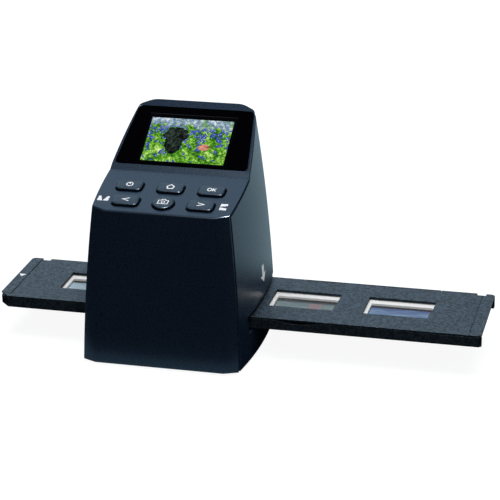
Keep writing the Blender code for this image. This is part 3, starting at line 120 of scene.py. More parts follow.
# Reach and tolerances of the tools, angles, and how finely curves are stepped
OVERRUN = 0.010
SHORT_OVERRUN = 0.0025
ACROSS = HALF_WIDTH_BASE + OVERRUN
WELD = 0.000002
ON_PLANE = 0.00005  # points this close to a plane lie on it
SHARP_ANGLE = math.radians(30)
WALL_ANGLE = math.radians(40)
DECK_FLAT_ANGLE = math.radians(0.2)
HOLDER_FLAT_ANGLE = math.radians(0.3)
SIDE_STEPS = 28
LOFT_LEVELS = 24
CORNER_STEPS = 8
ARC_STEPS = 5
ROUND_SIDES = 64
EDGE_SEGMENTS = 6
RIM_SEGMENTS = 4
HOUSING_SEGMENTS = 3
FINE_SEGMENTS = 2


# Shapes

def smooth(obj):
    """Shade smooth except across sharp edges."""
    obj.data.shade_smooth()
    obj.data.set_sharp_from_angle(angle=SHARP_ANGLE)
    return obj


def put(name, mesh):
    """A new object of the scene with this mesh."""
    made = bpy.data.objects.new(name, mesh)
    bpy.context.scene.collection.objects.link(made)
    return smooth(made)


@contextmanager
def editing(mesh):
    """The points, edges and faces of a mesh, to be changed."""
    bm = bmesh.new()
    bm.from_mesh(mesh)
    yield bm
    bm.to_mesh(mesh)
    bm.free()


def object_from(name, build):
    """A mesh object whose faces are made by build."""
    mesh = bpy.data.meshes.new(name)
    with editing(mesh) as bm:
        build(bm)
        bmesh.ops.recalc_face_normals(bm, faces=bm.faces)
    return put(name, mesh)


def box(name, low, high):
    """A box between two corners."""
    low = Vector(low)
    high = Vector(high)

    def build(bm):
        bmesh.ops.create_cube(bm, size=1.0)
        bmesh.ops.scale(bm, vec=high - low, verts=bm.verts)
        bmesh.ops.translate(bm, vec=(low + high) / 2, verts=bm.verts)
    return object_from(name, build)


def cylinder(name, centre, radius, low, high):
    """A cylinder along Y through centre."""
    place = Vector((centre[0], (low + high) / 2, centre[2]))

    def build(bm):
        bmesh.ops.create_cone(bm, cap_ends=True, segments=ROUND_SIDES, radius1=radius,
                              radius2=radius, depth=high - low)
        turn = Matrix.Rotation(math.radians(90), 3, "X")
        bmesh.ops.rotate(bm, matrix=turn, cent=(0, 0, 0), verts=bm.verts)
        bmesh.ops.translate(bm, vec=place, verts=bm.verts)
    return object_from(name, build)


def rings(name, levels, place=None):
    """A closed solid through outlines of equal length, each given with its height."""
    def build(bm):
        made = [[bm.verts.new((x, y, z)) for x, y in outline] for outline, z in levels]
        for lower, upper in zip(made, made[1:]):
            for i in range(len(lower)):
                j = (i + 1) % len(lower)
                bm.faces.new((lower[i], lower[j], upper[j], upper[i]))
        bm.faces.new(made[0])
        bm.faces.new(made[-1])
        if place:
            bmesh.ops.transform(bm, matrix=place, verts=bm.verts)
    return object_from(name, build)


def plate(name, outlines, low, high, place=None):
    """Flat outlines, the inner ones holes, thickened from low to high."""
    curve = bpy.data.curves.new(name, "CURVE")
    curve.dimensions = "2D"
    curve.fill_mode = "BOTH"
    curve.extrude = (high - low) / 2
    for outline in outlines:
        spline = curve.splines.new("POLY")
        spline.points.add(len(outline) - 1)
        for point, (x, y) in zip(spline.points, outline):
            point.co = (x, y, 0, 1)
        spline.use_cyclic_u = True
    holder = bpy.data.objects.new(name, curve)
    bpy.context.scene.collection.objects.link(holder)
    depsgraph = bpy.context.evaluated_depsgraph_get()
    mesh = bpy.data.meshes.new_from_object(holder.evaluated_get(depsgraph))
    bpy.data.objects.remove(holder)
    with editing(mesh) as bm:
        bmesh.ops.remove_doubles(bm, verts=bm.verts, dist=WELD)
        bmesh.ops.translate(bm, vec=(0, 0, (low + high) / 2), verts=bm.verts)
        if place:
            bmesh.ops.transform(bm, matrix=place, verts=bm.verts)
        bmesh.ops.recalc_face_normals(bm, faces=bm.faces)
    mesh.name = name
    return put(name, mesh)


def apply_modifiers(obj):
    """Turn an object's modifiers into its mesh, without the points that they double."""
    depsgraph = bpy.context.evaluated_depsgraph_get()
    mesh = bpy.data.meshes.new_from_object(obj.evaluated_get(depsgraph))
    obj.modifiers.clear()
    obj.data = mesh
    with editing(mesh) as bm:
        bmesh.ops.remove_doubles(bm, verts=bm.verts, dist=WELD)
    return smooth(obj)


def combine(target, tool, operation="DIFFERENCE"):
    """Cut a tool out of the target, or keep what the two share."""
    modifier = target.modifiers.new(operation.lower(), "BOOLEAN")
    modifier.operation = operation
    modifier.solver = "EXACT"
    modifier.object = tool
    apply_modifiers(target)
    bpy.data.objects.remove(tool)
    return target


def cut(target, *tools):
    """Cut every tool out of the target."""
    for tool in tools:
        combine(target, tool)
    return target


def round_edges(obj, width, segments=RIM_SEGMENTS, angle=SHARP_ANGLE):
    """Round the edges that are sharper than an angle."""
    modifier = obj.modifiers.new("rounding", "BEVEL")
    modifier.width = width
    modifier.segments = segments
    modifier.limit_method = "ANGLE"
    modifier.angle_limit = angle
    return apply_modifiers(obj)


def is_sharp(edge):
    return len(edge.link_faces) == 2 and edge.calc_face_angle() > SHARP_ANGLE


def bevel(bm, edges, width, segments):
    """Round chosen edges of a mesh that is being changed."""
    bmesh.ops.bevel(bm, geom=edges, offset=width, segments=segments, profile=0.5,
                    affect="EDGES", clamp_overlap=True)


def even_shading(obj):
    """Keep flat faces flat in the light beside their rounded edges."""
    modifier = obj.modifiers.new("even shading", "WEIGHTED_NORMAL")
    modifier.keep_sharp = True
    return obj


def rounded_rectangle(half_x, half_y, radius, steps=CORNER_STEPS):
    """An outline round the origin, counterclockwise from its right side."""
    points = []
    corners = ((1, 1, 0), (-1, 1, 90), (-1, -1, 180), (1, -1, 270))
    for side_x, side_y, start in corners:
        for step in range(steps + 1):
            angle = math.radians(start + 90 * step / steps)
            points.append((side_x * (half_x - radius) + radius * math.cos(angle),
                           side_y * (half_y - radius) + radius * math.sin(angle)))
    return points


def circle(radius, sides=ROUND_SIDES):
    turns = [math.tau * i / sides for i in range(sides)]
    return [(radius * math.cos(turn), radius * math.sin(turn)) for turn in turns]


def quarter(radius):
    """How far in and how far down each point of a rounded edge lies, from its foot up."""
    angles = [math.radians(90) * step / ARC_STEPS for step in range(ARC_STEPS + 1)]
    return [(radius * (1 - math.cos(a)), radius * (math.sin(a) - 1)) for a in angles]


def soft_corner(before, corner, after, reach, count):
    """The corner between two points as a curve of count steps over a reach on both sides."""
    start = (before - corner).normalized() * reach
    end = (after - corner).normalized() * reach
    shares = [step / count for step in range(count + 1)]
    return [tuple(corner + start * (1 - t) ** 2 + end * t ** 2) for t in shares]


def moved(outline, x, y):
    return [(px + x, py + y) for px, py in outline]


def replace(piece, body, *nodes):
    """A finished piece that stands for CAD nodes and moves with their body."""
    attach(piece, body)
    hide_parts(*nodes)
    return piece


# The body's form

def share_of_height(z):
    return (z - BASE_Z) / (ROOF_Z - BASE_Z)


def end_half_width(z):
    share = share_of_height(z)
    taper = HALF_WIDTH_BASE + (HALF_WIDTH_TOP - HALF_WIDTH_BASE) * share
    return taper + 4 * SIDE_BOW_HEIGHT * share * (1 - share)


def side_bow(z):
    return SIDE_BOW_BASE + (SIDE_BOW_TOP - SIDE_BOW_BASE) * share_of_height(z)


def front_y(z):
    return FRONT_Y + (z - BASE_Z) * FRONT_LEAN


def half_width(y, z):
    """How far the side surface is from the body's middle."""
    start = front_y(z) + FRONT_CHAMFER_DEPTH
    end = BACK_Y - BACK_CHAMFER_DEPTH
    place = max(-1.0, min(1.0, 2 * (y - start) / (end - start) - 1))
    return end_half_width(z) + side_bow(z) * (1 - place ** 2)


def plan(z, inset, corner_inset=0.0, open_front=False):
    """The right half of the body's plan at a height, front to back, moved in by insets."""
    start = front_y(z) + FRONT_CHAMFER_DEPTH
    end = BACK_Y - BACK_CHAMFER_DEPTH
    width = end_half_width(z)
    points = []
    if open_front:
        points.append((width - inset, front_y(z) - OVERRUN))
        first = start
    else:
        run = Vector((FRONT_CHAMFER_WIDTH, FRONT_CHAMFER_DEPTH))
        inward = Vector((-run.y, run.x)).normalized() * corner_inset
        base = Vector((width - run.x, front_y(z))) + inward
        points.append(tuple(base - run * (base.y - front_y(z) + FRONT_CHAMFER_DEPTH) / run.y))
        first = base.y + run.y * (width - inset - base.x) / run.x
        points.append((width - inset, first))
    run = Vector((-BACK_CHAMFER_WIDTH, BACK_CHAMFER_DEPTH))
    inward = Vector((-run.y, run.x)).normalized() * inset
    base = Vector((width, end)) + inward
    last = base.y + run.y * (width - inset - base.x) / run.x
    for step in range(1, SIDE_STEPS - 1):
        y = first + (last - first) * step / SIDE_STEPS
        points.append((half_width(y, z) - inset, y))
    back = BACK_Y - inset
    side_corner = Vector((width - inset, last))
    back_corner = Vector((base.x + run.x * (back - base.y) / run.y, back))
    points += soft_corner(Vector(points[-1]), side_corner, back_corner, SIDE_CORNER, ARC_STEPS)
    points += soft_corner(side_corner, back_corner, Vector((0, back)), BACK_CORNER, ARC_STEPS)
    return points


def lofted_plan(name, inset, corner_inset=0.0, open_front=False, low=None):
    """A solid through the body's plans at several heights."""
    low = BASE_Z if low is None else low
    levels = []
    for level in range(LOFT_LEVELS + 1):
        z = low + (TOP_LOFT_Z - low) * level / LOFT_LEVELS
        right = plan(z, inset, corner_inset, open_front)
        left = [(-x, y) for x, y in reversed(right)]
        levels.append((moved(right + left, BODY_X, 0), z))
    return rings(name, levels)


def offset_path(path, distance, closed=False):
    """An open or closed path moved to its right by a distance, with mitred corners."""
    points = [Vector(p) for p in path]
    runs = [(end - start).normalized() for start, end in zip(points, points[1:] + points[:1])]
    if not closed:
        runs[-1] = runs[-2]
    result = []
    for i, (point, after) in enumerate(zip(points, runs)):
        before = runs[i - 1] if i or closed else after
        normal = Vector((before.y, -before.x))
        middle = (normal + Vector((after.y, -after.x))).normalized()
        result.append(point + middle * distance / middle.dot(normal))
    return result


def profile(name, depth, low=None, front_depth=None):
    """Everything deeper than a depth behind the front face and under the deck and screen.
    A front_depth sets the depth behind the front face alone."""
    low = BASE_Z - OVERRUN if low is None else low
    tail = STRIP_TOP_Y + (TOP_LOFT_Z - STRIP_TOP_Z) / math.tan(SCREEN_SLOPE)
    toe = Vector((FRONT_Y - FRONT_LEAN * OVERRUN, BASE_Z - OVERRUN))
    path = [toe, (FRONT_TOP_Y, FRONT_TOP_Z), (FOLD_Y, FOLD_Z), (STRIP_TOP_Y, STRIP_TOP_Z),
            (tail, TOP_LOFT_Z)]
    points = offset_path(path, depth)
    if front_depth:
        corner = points[1]
        run = points[2] - corner
        missing = front_y(corner.y) + front_depth - corner.x
        points[1] = corner + run * missing / (run.x - run.y * FRONT_LEAN)
        toe_y = front_y(low) + front_depth
    else:
        toe_y = points[0].x + (low - points[0].y) * FRONT_LEAN
    outline = [(toe_y, low)] + [tuple(p) for p in points[1:]] + [(points[-1].x, low)]
    return plate(name, [outline], BODY_X - ACROSS, BODY_X + ACROSS, SIDE_VIEW)


def plane_frame(origin_y, origin_z, slope):
    """A frame on a sloping face: X across, Y up the slope, Z out of the face."""
    return Matrix.Translation((BODY_X, origin_y, origin_z)) @ Matrix.Rotation(slope, 4, "X")


SIDE_VIEW = Matrix(((0, 0, 1, 0), (1, 0, 0, 0), (0, 1, 0, 0), (0, 0, 0, 1)))
DECK = plane_frame(FOLD_Y, FOLD_Z, DECK_SLOPE)
SCREEN = plane_frame(STRIP_TOP_Y, STRIP_TOP_Z, SCREEN_SLOPE)
DECK_NORMAL = tuple(DECK.to_3x3() @ Vector((0, 0, 1)))

# Buttons
CAP_LENGTH = 0.0150
CAP_WIDTH = 0.0096
CAP_CORNER = 0.0026
ROUND_CAP_RADIUS = 0.0061
CAP_RISE = 0.0016
CAP_GAP = 0.0005
CAP_EDGE = 0.0009
CAP_CROWN = 0.00012
CROWN_SHARES = (0.8, 0.6, 0.4, 0.2)
CAP_FLANGE = 0.0010
CAP_FLANGE_THICKNESS = 0.0012
ROW_ONE = 0.0169
ROW_TWO = 0.0327
OUTER_ONE = 0.0238
OUTER_TWO = 0.0215
BUTTONS = (  # node, body, place across and down the deck, round or not
    ("power_button", "power_key", -OUTER_ONE, ROW_ONE, False),
    ("home_button", "home_key", 0.0, ROW_ONE, False),
    ("ok_button", "ok_key", OUTER_ONE, ROW_ONE, False),
    ("left_button", "left_key", -OUTER_TWO, ROW_TWO, False),
    ("capture_button", "capture_key", 0.0, ROW_TWO, True),
    ("right_button", "right_key", OUTER_TWO, ROW_TWO, False),
)

# Screen
GLASS_THICKNESS = 0.0009
GLASS_BOTTOM_MARGIN = 0.0002
GLASS_LENGTH = 0.0437
GLASS_HALF_BOTTOM = 0.0390
GLASS_HALF_TOP = 0.0343
GLASS_CORNER = 0.0030
PICTURE_HALF_WIDTH = 0.02445
PICTURE_LOW = 0.0032
PICTURE_HIGH = 0.0354
PICTURE_CORNER_STEPS = 2
PANE_GAP = 0.00003


def cap_outline(is_round, grow):
    """A key's outline, larger by a growth."""
    if is_round:
        return circle(ROUND_CAP_RADIUS + grow)
    return rounded_rectangle(CAP_LENGTH / 2 + grow, CAP_WIDTH / 2 + grow, CAP_CORNER + grow)


def glass_outline(grow=0.0):
    """The glass: narrower at the top, with rounded corners, up the slope from the strip."""
    low = GLASS_BOTTOM_MARGIN - grow
    high = GLASS_BOTTOM_MARGIN + GLASS_LENGTH + grow
    corners = [Vector((GLASS_HALF_BOTTOM + grow, low)), Vector((GLASS_HALF_TOP + grow, high)),
               Vector((-GLASS_HALF_TOP - grow, high)), Vector((-GLASS_HALF_BOTTOM - grow, low))]
    points = []
    for i, corner in enumerate(corners):
        after = corners[(i + 1) % len(corners)]
        points += soft_corner(corners[i - 1], corner, after, GLASS_CORNER + grow, CORNER_STEPS)
    return points


def flared_cutter(name, outline, low, rounding, place):
    """A cutter whose mouth at height 0 widens like a rounded rim; outline takes a growth."""
    rim = [(outline(growth), height) for growth, height in quarter(rounding)]
    levels = [(outline(0.0), low)] + rim + [(outline(rounding), OVERRUN)]
    return rings(name, levels, place)


# Body shells

def round_deck_front(cover):
    """Round the deck's front edge, from one side's chamfer to the other's."""
    to_deck = DECK.inverted()
    reach = FRONT_TOP_Y + FRONT_CHAMFER_DEPTH + EDGE_ROUNDING

    def on_edge(vert):
        return abs((to_deck @ vert.co).z) < ON_PLANE and vert.co.y < reach

    def faces_front(face):
        return face.normal.y < -DECK_NORMAL[2] / 2
    with editing(cover.data) as bm:
        bmesh.ops.dissolve_limit(bm, angle_limit=DECK_FLAT_ANGLE, verts=bm.verts, edges=bm.edges)
        edges = [e for e in bm.edges if all(map(on_edge, e.verts)) and is_sharp(e)
                 and any(map(faces_front, e.link_faces))]
        bevel(bm, edges, EDGE_ROUNDING, EDGE_SEGMENTS)


def front_cover():
    """The face, the deck and the screen's frame, with the holes for the keys and the glass."""
    cover = lofted_plan("front_cover_shell", COVER_INSET)
    combine(cover, profile("face", 0.0), "INTERSECT")
    round_deck_front(cover)
    round_edges(cover, RIM_ROUNDING)
    pocket = lofted_plan("pocket", COVER_INSET + COVER_RIM_WIDTH, COVER_RIM_WIDTH)
    inner_face = profile("inner_face", COVER_WALL, BASE_Z + COVER_BOTTOM_RIM)
    combine(pocket, inner_face, "INTERSECT")
    cut(cover, pocket, seam_cutter(), profile("behind", COVER_RIM, front_depth=RIM_FRONT))
    for _, _, x, down, is_round in BUTTONS:
        def hole(grow):
            return moved(cap_outline(is_round, CAP_GAP + grow), x, -down)
        cut(cover, flared_cutter("hole", hole, -COVER_RIM - SHORT_OVERRUN, RIM_ROUNDING, DECK))

    def seat(grow):
        return glass_outline(FIT / 2 + grow)
    cut(cover, flared_cutter("seat", seat, -GLASS_THICKNESS - FIT, RIM_ROUNDING, SCREEN))
    return replace(even_shading(cover), BODY, "front_cover")


def seam_cutter():
    """The groove round the sides and the back, between the cover's lip and the housing."""
    seam = box("seam", (BODY_X - ACROSS, FRONT_Y - OVERRUN, BASE_Z - SHORT_OVERRUN),
               (BODY_X + ACROSS, BACK_Y + OVERRUN, TOP_LOFT_Z - SHORT_OVERRUN))
    from_lip = profile("from", COVER_LIP, front_depth=FRONT_CHAMFER_DEPTH + COVER_LIP)
    combine(seam, from_lip, "INTERSECT")
    inside = lofted_plan("inside", SEAM_DEPTH, low=BASE_Z - OVERRUN)
    return cut(seam, inside)


def rear_housing():
    """The sides and the back, with the holder's slot and the sockets' holes."""
    housing = lofted_plan("rear_housing_shell", 0.0)
    behind_cover = profile("face", COVER_RIM + HAIRLINE, front_depth=RIM_FRONT + HAIRLINE)
    combine(housing, behind_cover, "INTERSECT")
    round_edges(housing, HOUSING_ROUNDING, HOUSING_SEGMENTS, WALL_ANGLE)
    hollow = lofted_plan("hollow", WALL, open_front=True, low=BASE_Z - OVERRUN)
    cut(housing, hollow)
    tray_low, tray_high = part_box("holder_tray")
    lid_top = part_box("holder_lid")[1].z
    slot_low = (BODY_X - ACROSS, tray_low.y - SLOT_NEAR_GAP, tray_low.z - SLOT_GAP)
    slot_high = (BODY_X + ACROSS, tray_high.y + SLOT_FAR_GAP, lid_top + SLOT_HEAD_GAP)
    cut(housing, box("slot", slot_low, slot_high))
    for socket in ("card_socket", "usb_socket"):
        low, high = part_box(socket)
        cut(housing, box("hole", (low.x - FIT, BACK_Y - WALL - FIT, low.z - FIT),
                         (high.x + FIT, BACK_Y + OVERRUN, high.z + FIT)))
    low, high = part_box("video_socket")
    radius = (high.x - low.x) / 2 + FIT
    middle = (low + high) / 2
    cut(housing, cylinder("hole", middle, radius, BACK_Y - WALL - FIT, BACK_Y + OVERRUN))
    return replace(even_shading(housing), BODY, "rear_housing")


def button(name, body, x, down, is_round):
    """A cap with a rounded top edge and a slight crown, and its flange under the deck."""
    flange_top = -COVER_WALL - FIT
    flange_low = flange_top - CAP_FLANGE_THICKNESS
    side = cap_outline(is_round, 0.0)
    flange = cap_outline(is_round, CAP_FLANGE)
    levels = [(flange, flange_low), (flange, flange_top), (side, flange_top)]
    for shrink, height in quarter(CAP_EDGE):
        levels.append((cap_outline(is_round, -shrink), CAP_RISE - CAP_CROWN + height))
    top = cap_outline(is_round, -CAP_EDGE)
    for share in CROWN_SHARES:
        inner = [(px * share, py * share) for px, py in top]
        levels.append((inner, CAP_RISE - CAP_CROWN * share ** 2))
    cap = rings(name + "_cap", levels, DECK @ Matrix.Translation((x, -down, 0)))
    return replace(cap, body, name)


def screen_glass():
    """The glass with an opening, and the pane of the picture that fills it."""
    outlines = [glass_outline(), picture_outline(PANE_GAP)]
    glass = plate("screen_glass", outlines, -GLASS_THICKNESS, 0.0)
    glass.matrix_world = SCREEN
    replace(glass, BODY, "screen_window")
    pane = plate("screen_picture", [picture_outline(0.0)], -GLASS_THICKNESS, 0.0)
    pane.matrix_world = SCREEN
    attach(pane, BODY)
    return glass, pane


def picture_outline(grow):
    """The lit picture's outline, larger by a growth."""
    half_height = (PICTURE_HIGH - PICTURE_LOW) / 2 + grow
    outline = rounded_rectangle(PICTURE_HALF_WIDTH + grow, half_height, RIM_ROUNDING,
                                PICTURE_CORNER_STEPS)
    return moved(outline, 0, (PICTURE_HIGH + PICTURE_LOW) / 2)


# The slide holder: the CAD's shapes with soft edges

def softened(cad_node, name, width):
    """A copy of a CAD node's shape with its sharp edges slightly rounded, which replaces it."""
    solid = frame["nodes"][cad_node]
    mesh = bpy.data.meshes.new(name)
    with editing(mesh) as bm:
        bm.from_mesh(solid.data)
        bmesh.ops.remove_doubles(bm, verts=bm.verts, dist=WELD)
        bmesh.ops.dissolve_limit(bm, angle_limit=HOLDER_FLAT_ANGLE, verts=bm.verts, edges=bm.edges)
        bevel(bm, [e for e in bm.edges if is_sharp(e)], width, FINE_SEGMENTS)
    return replace(even_shading(put(name, mesh)), solid["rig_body"], cad_node)


MOUNT_CORNER = 0.0020
APERTURE_CORNER = 0.0008
APERTURE_LEFT = 0.0173  # from the mount's middle to the aperture's edges
APERTURE_RIGHT = 0.0186
APERTURE_NEAR = 0.0120
APERTURE_FAR = 0.0074


def slide_mount(cad_node):
    """A slide's plastic mount, with rounded corners and edges, round its aperture."""
    low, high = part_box(cad_node)
    middle = (low + high) / 2
    film_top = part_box("slide_film_1")[1].z
    outer = rounded_rectangle((high.x - low.x) / 2, (high.y - low.y) / 2, MOUNT_CORNER)
    across = (APERTURE_LEFT + APERTURE_RIGHT) / 2
    along = (APERTURE_NEAR + APERTURE_FAR) / 2
    aperture = moved(rounded_rectangle(across, along, APERTURE_CORNER), APERTURE_RIGHT - across,
                     APERTURE_FAR - along)
    place = Matrix.Translation((middle.x, middle.y, 0))
    mount = plate(cad_node + "_frame", [outer, aperture], film_top + HAIRLINE, high.z, place)
    round_edges(mount, RIM_ROUNDING, FINE_SEGMENTS)
    return replace(even_shading(mount), HOLDER, cad_node)


# Printed marks

PRINT_THICKNESS = 0.00003
LINE = 0.00062  # width of a printed line
BOLD_LINE = LINE * 1.2
FINE_LINE = LINE * 0.9
FINEST_LINE = LINE * 0.8
ICON_SIDES = 32
MIRROR_MARK_PLACE = (-0.0352, 0.0310)  # across the deck and down it
FLIP_MARK_PLACE = (0.0341, 0.0313)
ARROW_CUTS = 3


def stroke(points, width, closed=False):
    """Outlines of a line of some width through points."""
    one_side = offset_path(points, width / 2, closed)
    other_side = offset_path(points, -width / 2, closed)
    return [one_side, other_side] if closed else [one_side + other_side[::-1]]


def power_icon():
    radius, low, high = 0.0018, 0.0002, 0.0013
    ring = stroke(circle(radius, ICON_SIDES), LINE, closed=True)
    return ring + stroke([(0, low), (0, high)], LINE)


def home_icon():
    half, foot_half, eaves, ridge, foot = 0.0020, 0.0014, 0.0005, 0.0022, -0.0018
    outline = [(-foot_half, foot), (foot_half, foot), (half, eaves), (0, ridge), (-half, eaves)]
    return stroke(outline, BOLD_LINE, closed=True)


def ok_icon():
    height, gap, narrow = 0.0028, 0.0004, 0.8
    oval = [(x * narrow, y) for x, y in circle(height / 2, ICON_SIDES)]
    letter_o = stroke(moved(oval, -height / 2 + gap / 2, 0), LINE, closed=True)
    half, reach, foot, waist, crotch = height / 2, 0.0024, 0.0008, 0.0004, 0.0005
    upper = [(LINE, waist), (reach - foot, half), (reach, half), (LINE + crotch, 0)]
    lower = [(x, -y) for x, y in reversed(upper[:3])]
    letter_k = [(0, -half), (0, half), (LINE, half)] + upper + lower + [(LINE, -half)]
    return letter_o + [moved(letter_k, gap, 0)]


def chevron_icon(side):
    reach, rise = 0.0019, 0.0015
    return stroke([(side * -reach, rise), (side * reach, 0), (side * -reach, -rise)], LINE)


def camera_icon():
    half, low, high, hump = 0.0028, -0.0020, 0.0014, 0.0024
    hump_foot, hump_top = 0.0014, 0.00084
    lens_radius, lens_y = 0.0010, -0.0002
    body = [(-half, low), (half, low), (half, high), (hump_foot, high), (hump_top, hump),
            (-hump_top, hump), (-hump_foot, high), (-half, high)]
    lens = moved(circle(lens_radius, ICON_SIDES), 0, lens_y)
    return stroke(body, FINE_LINE, closed=True) + stroke(lens, FINEST_LINE, closed=True)


def mirror_icon(reach=0.0032, gap=0.0002, rise=0.0023, blunt=0.0013):
    """Two right triangles, mirrored left and right."""
    left = [(-reach, -rise), (-gap, -rise), (-reach + blunt, rise), (-reach, rise)]
    return [left, [(-x, y) for x, y in reversed(left)]]


def flip_icon():
    """Two right triangles, mirrored up and down."""
    sideways = mirror_icon(gap=0.0003, rise=0.0020, blunt=0.0019)
    return [[(y, -x) for x, y in outline] for outline in sideways]


def print_mark(name, outlines, place, body):
    """A thin printed mark on a plane, which moves with its body."""
    mark = plate(name, outlines, 0.0, PRINT_THICKNESS, place)
    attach(mark, body)
    return mark


def side_arrow():
    """The arrow on the right wall that points down at the holder's slot."""
    middle_y, tip_z, wing_z, top_z = 0.0096, 0.0345, 0.0390, 0.0446
    wing, shaft = 0.0061, 0.0023
    outline = [(middle_y, tip_z), (middle_y + wing, wing_z), (middle_y + shaft, wing_z),
               (middle_y + shaft, top_z), (middle_y - shaft, top_z), (middle_y - shaft, wing_z),
               (middle_y - wing, wing_z)]
    mark = plate("side_arrow", [outline], 0.0, PRINT_THICKNESS)
    with editing(mark.data) as bm:
        bmesh.ops.subdivide_edges(bm, edges=bm.edges, cuts=ARROW_CUTS, use_grid_fill=True)
        for vert in bm.verts:
            y, z, rise = vert.co
            vert.co = (BODY_X + half_width(y, z) + PRINT_THICKNESS / 2 + rise, y, z)
        bmesh.ops.recalc_face_normals(bm, faces=bm.faces)
    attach(mark, BODY)
    return mark


def holder_mark():
    """The small triangle on the holder's left end strip."""
    low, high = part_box("holder_lid")
    inset, y = 0.0031, 0.0136
    half, length = 0.0021, 0.0038
    x = low.x + inset
    outline = [(x - half, y + half), (x + half, y + half), (x, y + half - length)]
    place = Matrix.Translation((0, 0, high.z))
    return print_mark("holder_mark", [outline], place, HOLDER)


def prints():
    """The icons on the keys, the two marks on the deck, the arrow and the holder's triangle."""
    icons = {"power_button": power_icon(), "home_button": home_icon(), "ok_button": ok_icon(),
             "left_button": chevron_icon(-1), "capture_button": camera_icon(),
             "right_button": chevron_icon(1)}
    made = []
    for name, body, x, down, _ in BUTTONS:
        place = DECK @ Matrix.Translation((x, -down, CAP_RISE))
        made.append(print_mark(name + "_icon", icons[name], place, body))
    for name, icon, (x, down) in (("mirror_mark", mirror_icon(), MIRROR_MARK_PLACE),
                                  ("flip_mark", flip_icon(), FLIP_MARK_PLACE)):
        made.append(print_mark(name, icon, DECK @ Matrix.Translation((x, -down, 0)), BODY))
    made += [side_arrow(), holder_mark()]
    return made


# Materials

COOL_TINT = (0.62, 0.82, 1.0)  # of the gloss on the dark plastics
GREY_TINT = (0.7, 0.7, 0.7)
GRAIN_DETAIL = 3.0
GRAIN_ROUGHNESS = 0.7
GRAIN_GLOSS_SPREAD = 0.08
CLOUD_SCALE = 18.0  # broad unevenness of tone
CLOUD_SHARE = 0.25
CLOUD_BASE = 0.88
FLECK_SHARE = 0.7  # how much of the tone is flecks, the rest being grain
PAINTED_SHADE_FROM = 0.30  # faces that turn up less than this get painted shade, as dark as a gap
PAINTED_SHADE_FADE = 0.45
PAINTED_SHADE_LEAST_TONE = 0.2
PLASTIC_GLOSS = 0.6  # specular levels
GLOSS_OUT_OF_PAINTED_SHADE = 0.55
SCREEN_GLOSS = 0.4
SCREEN_ROUGHNESS = 0.06
SKIN_GRAIN = 0.0006  # of smooth surfaces
SKIN_DEPTH = 0.00001
SKIN_RELIEF = 0.6
SKIN_DARK = 0.86
SKIN_GLOSS_SPREAD = 0.12

# Scales of patterns
PLATING_STRETCH = (600, 9000, 9000)
PLATING_DARK = 0.75
TRACE_SCALE = 420.0
TRACE_DEPTH = 0.00003
PATCH_SCALE = 150.0
GRASS_SCALE = 560.0
DRIFT_SCALE = 190.0
OUTLINE_SCALE = 380.0
MIST_SCALE = 420.0
FLOWER_SCALE = 620.0
PETAL_REACH = 0.55  # a share of a flower's cell

# Places on a film, as shares of its length, and the banks of tone on it
FILM_HALF = 0.44
SPOT_MIDDLE = 0.66
SPOT_HALF = 0.10
BANK_STRETCH = (2.0, 5.0, 1.0)
BANK_SCALE = 1.6

# The panel under the screen's glass, and the bright line at its upper edge
PANEL_HALF_WIDTH = 0.0262
PANEL_MIDDLE = 0.02015
PANEL_HALF_HEIGHT = 0.01835
PANEL_LINE = 0.0384
PANEL_LINE_HALF = 0.0002

# Forms in the picture, each with its middle and its half sizes on the screen
TRUNK = (-0.0080, 0.0170), (0.0052, 0.0078)
CROWN = (-0.0074, 0.0235), (0.0072, 0.0052)
RED_BED = (0.0105, 0.0150), (0.0034, 0.0022)


def feed(tree, made, **inputs):
    """Set a node's inputs, named or numbered as _0, to values, or link sockets to them."""
    for key, value in inputs.items():
        socket = made.inputs[int(key[1:])] if key[0] == "_" else made.inputs[key.replace("_", " ")]
        if isinstance(value, bpy.types.NodeSocket):
            tree.links.new(value, socket)
        else:
            socket.default_value = value


def node(tree, kind, settings=(), **inputs):
    """A shader node with its settings and inputs."""
    made = tree.nodes.new(kind)
    for key, value in dict(settings).items():
        setattr(made, key, value)
    feed(tree, made, **inputs)
    return made


def maths(tree, operation, first, second=0.0, clamp=False):
    settings = {"operation": operation, "use_clamp": clamp}
    return node(tree, "ShaderNodeMath", settings, _0=first, _1=second).outputs[0]


def times(tree, first, second):
    return maths(tree, "MULTIPLY", first, second)


def linear(tree, value, scale, offset):
    """The value times a scale plus an offset."""
    settings = {"operation": "MULTIPLY_ADD"}
    return node(tree, "ShaderNodeMath", settings, _0=value, _1=scale, _2=offset).outputs[0]


def uneven(tree, value, middle, spread):
    """A value of 0 to 1 spread evenly round a middle."""
    return linear(tree, value, spread, middle - spread / 2)


def ramp(tree, value, start, width):
    """0 up to a start, then rising to 1 over a width."""
    return maths(tree, "DIVIDE", maths(tree, "SUBTRACT", value, start), width, clamp=True)


def near(tree, value, middle, reach):
    """1 within reach of a middle, 0 elsewhere."""
    away = maths(tree, "ABSOLUTE", maths(tree, "SUBTRACT", value, middle))
    return maths(tree, "LESS_THAN", away, reach)


def steps(tree, factor, stops):
    """A colour ramp through stops of place and colour."""
    made = node(tree, "ShaderNodeValToRGB", Fac=factor)
    elements = made.color_ramp.elements
    while len(elements) < len(stops):
        elements.new(0.5)
    for element, (place, colour) in zip(elements, stops):
        element.position = place
        element.color = (*colour, 1)
    return made.outputs["Color"]


def mix(tree, factor, first, second):
    """A mix of two colours, each given as numbers or as a socket."""
    first, second = (colour if isinstance(colour, bpy.types.NodeSocket) else (*colour, 1)
                     for colour in (first, second))
    made = node(tree, "ShaderNodeMix", {"data_type": "RGBA"}, _0=factor, _6=first, _7=second)
    return made.outputs[2]


def noise(tree, coordinates, scale, detail=2.0, roughness=0.5):
    made = node(tree, "ShaderNodeTexNoise", Vector=coordinates, Scale=scale, Detail=detail,
                Roughness=roughness)
    return made.outputs["Fac"]


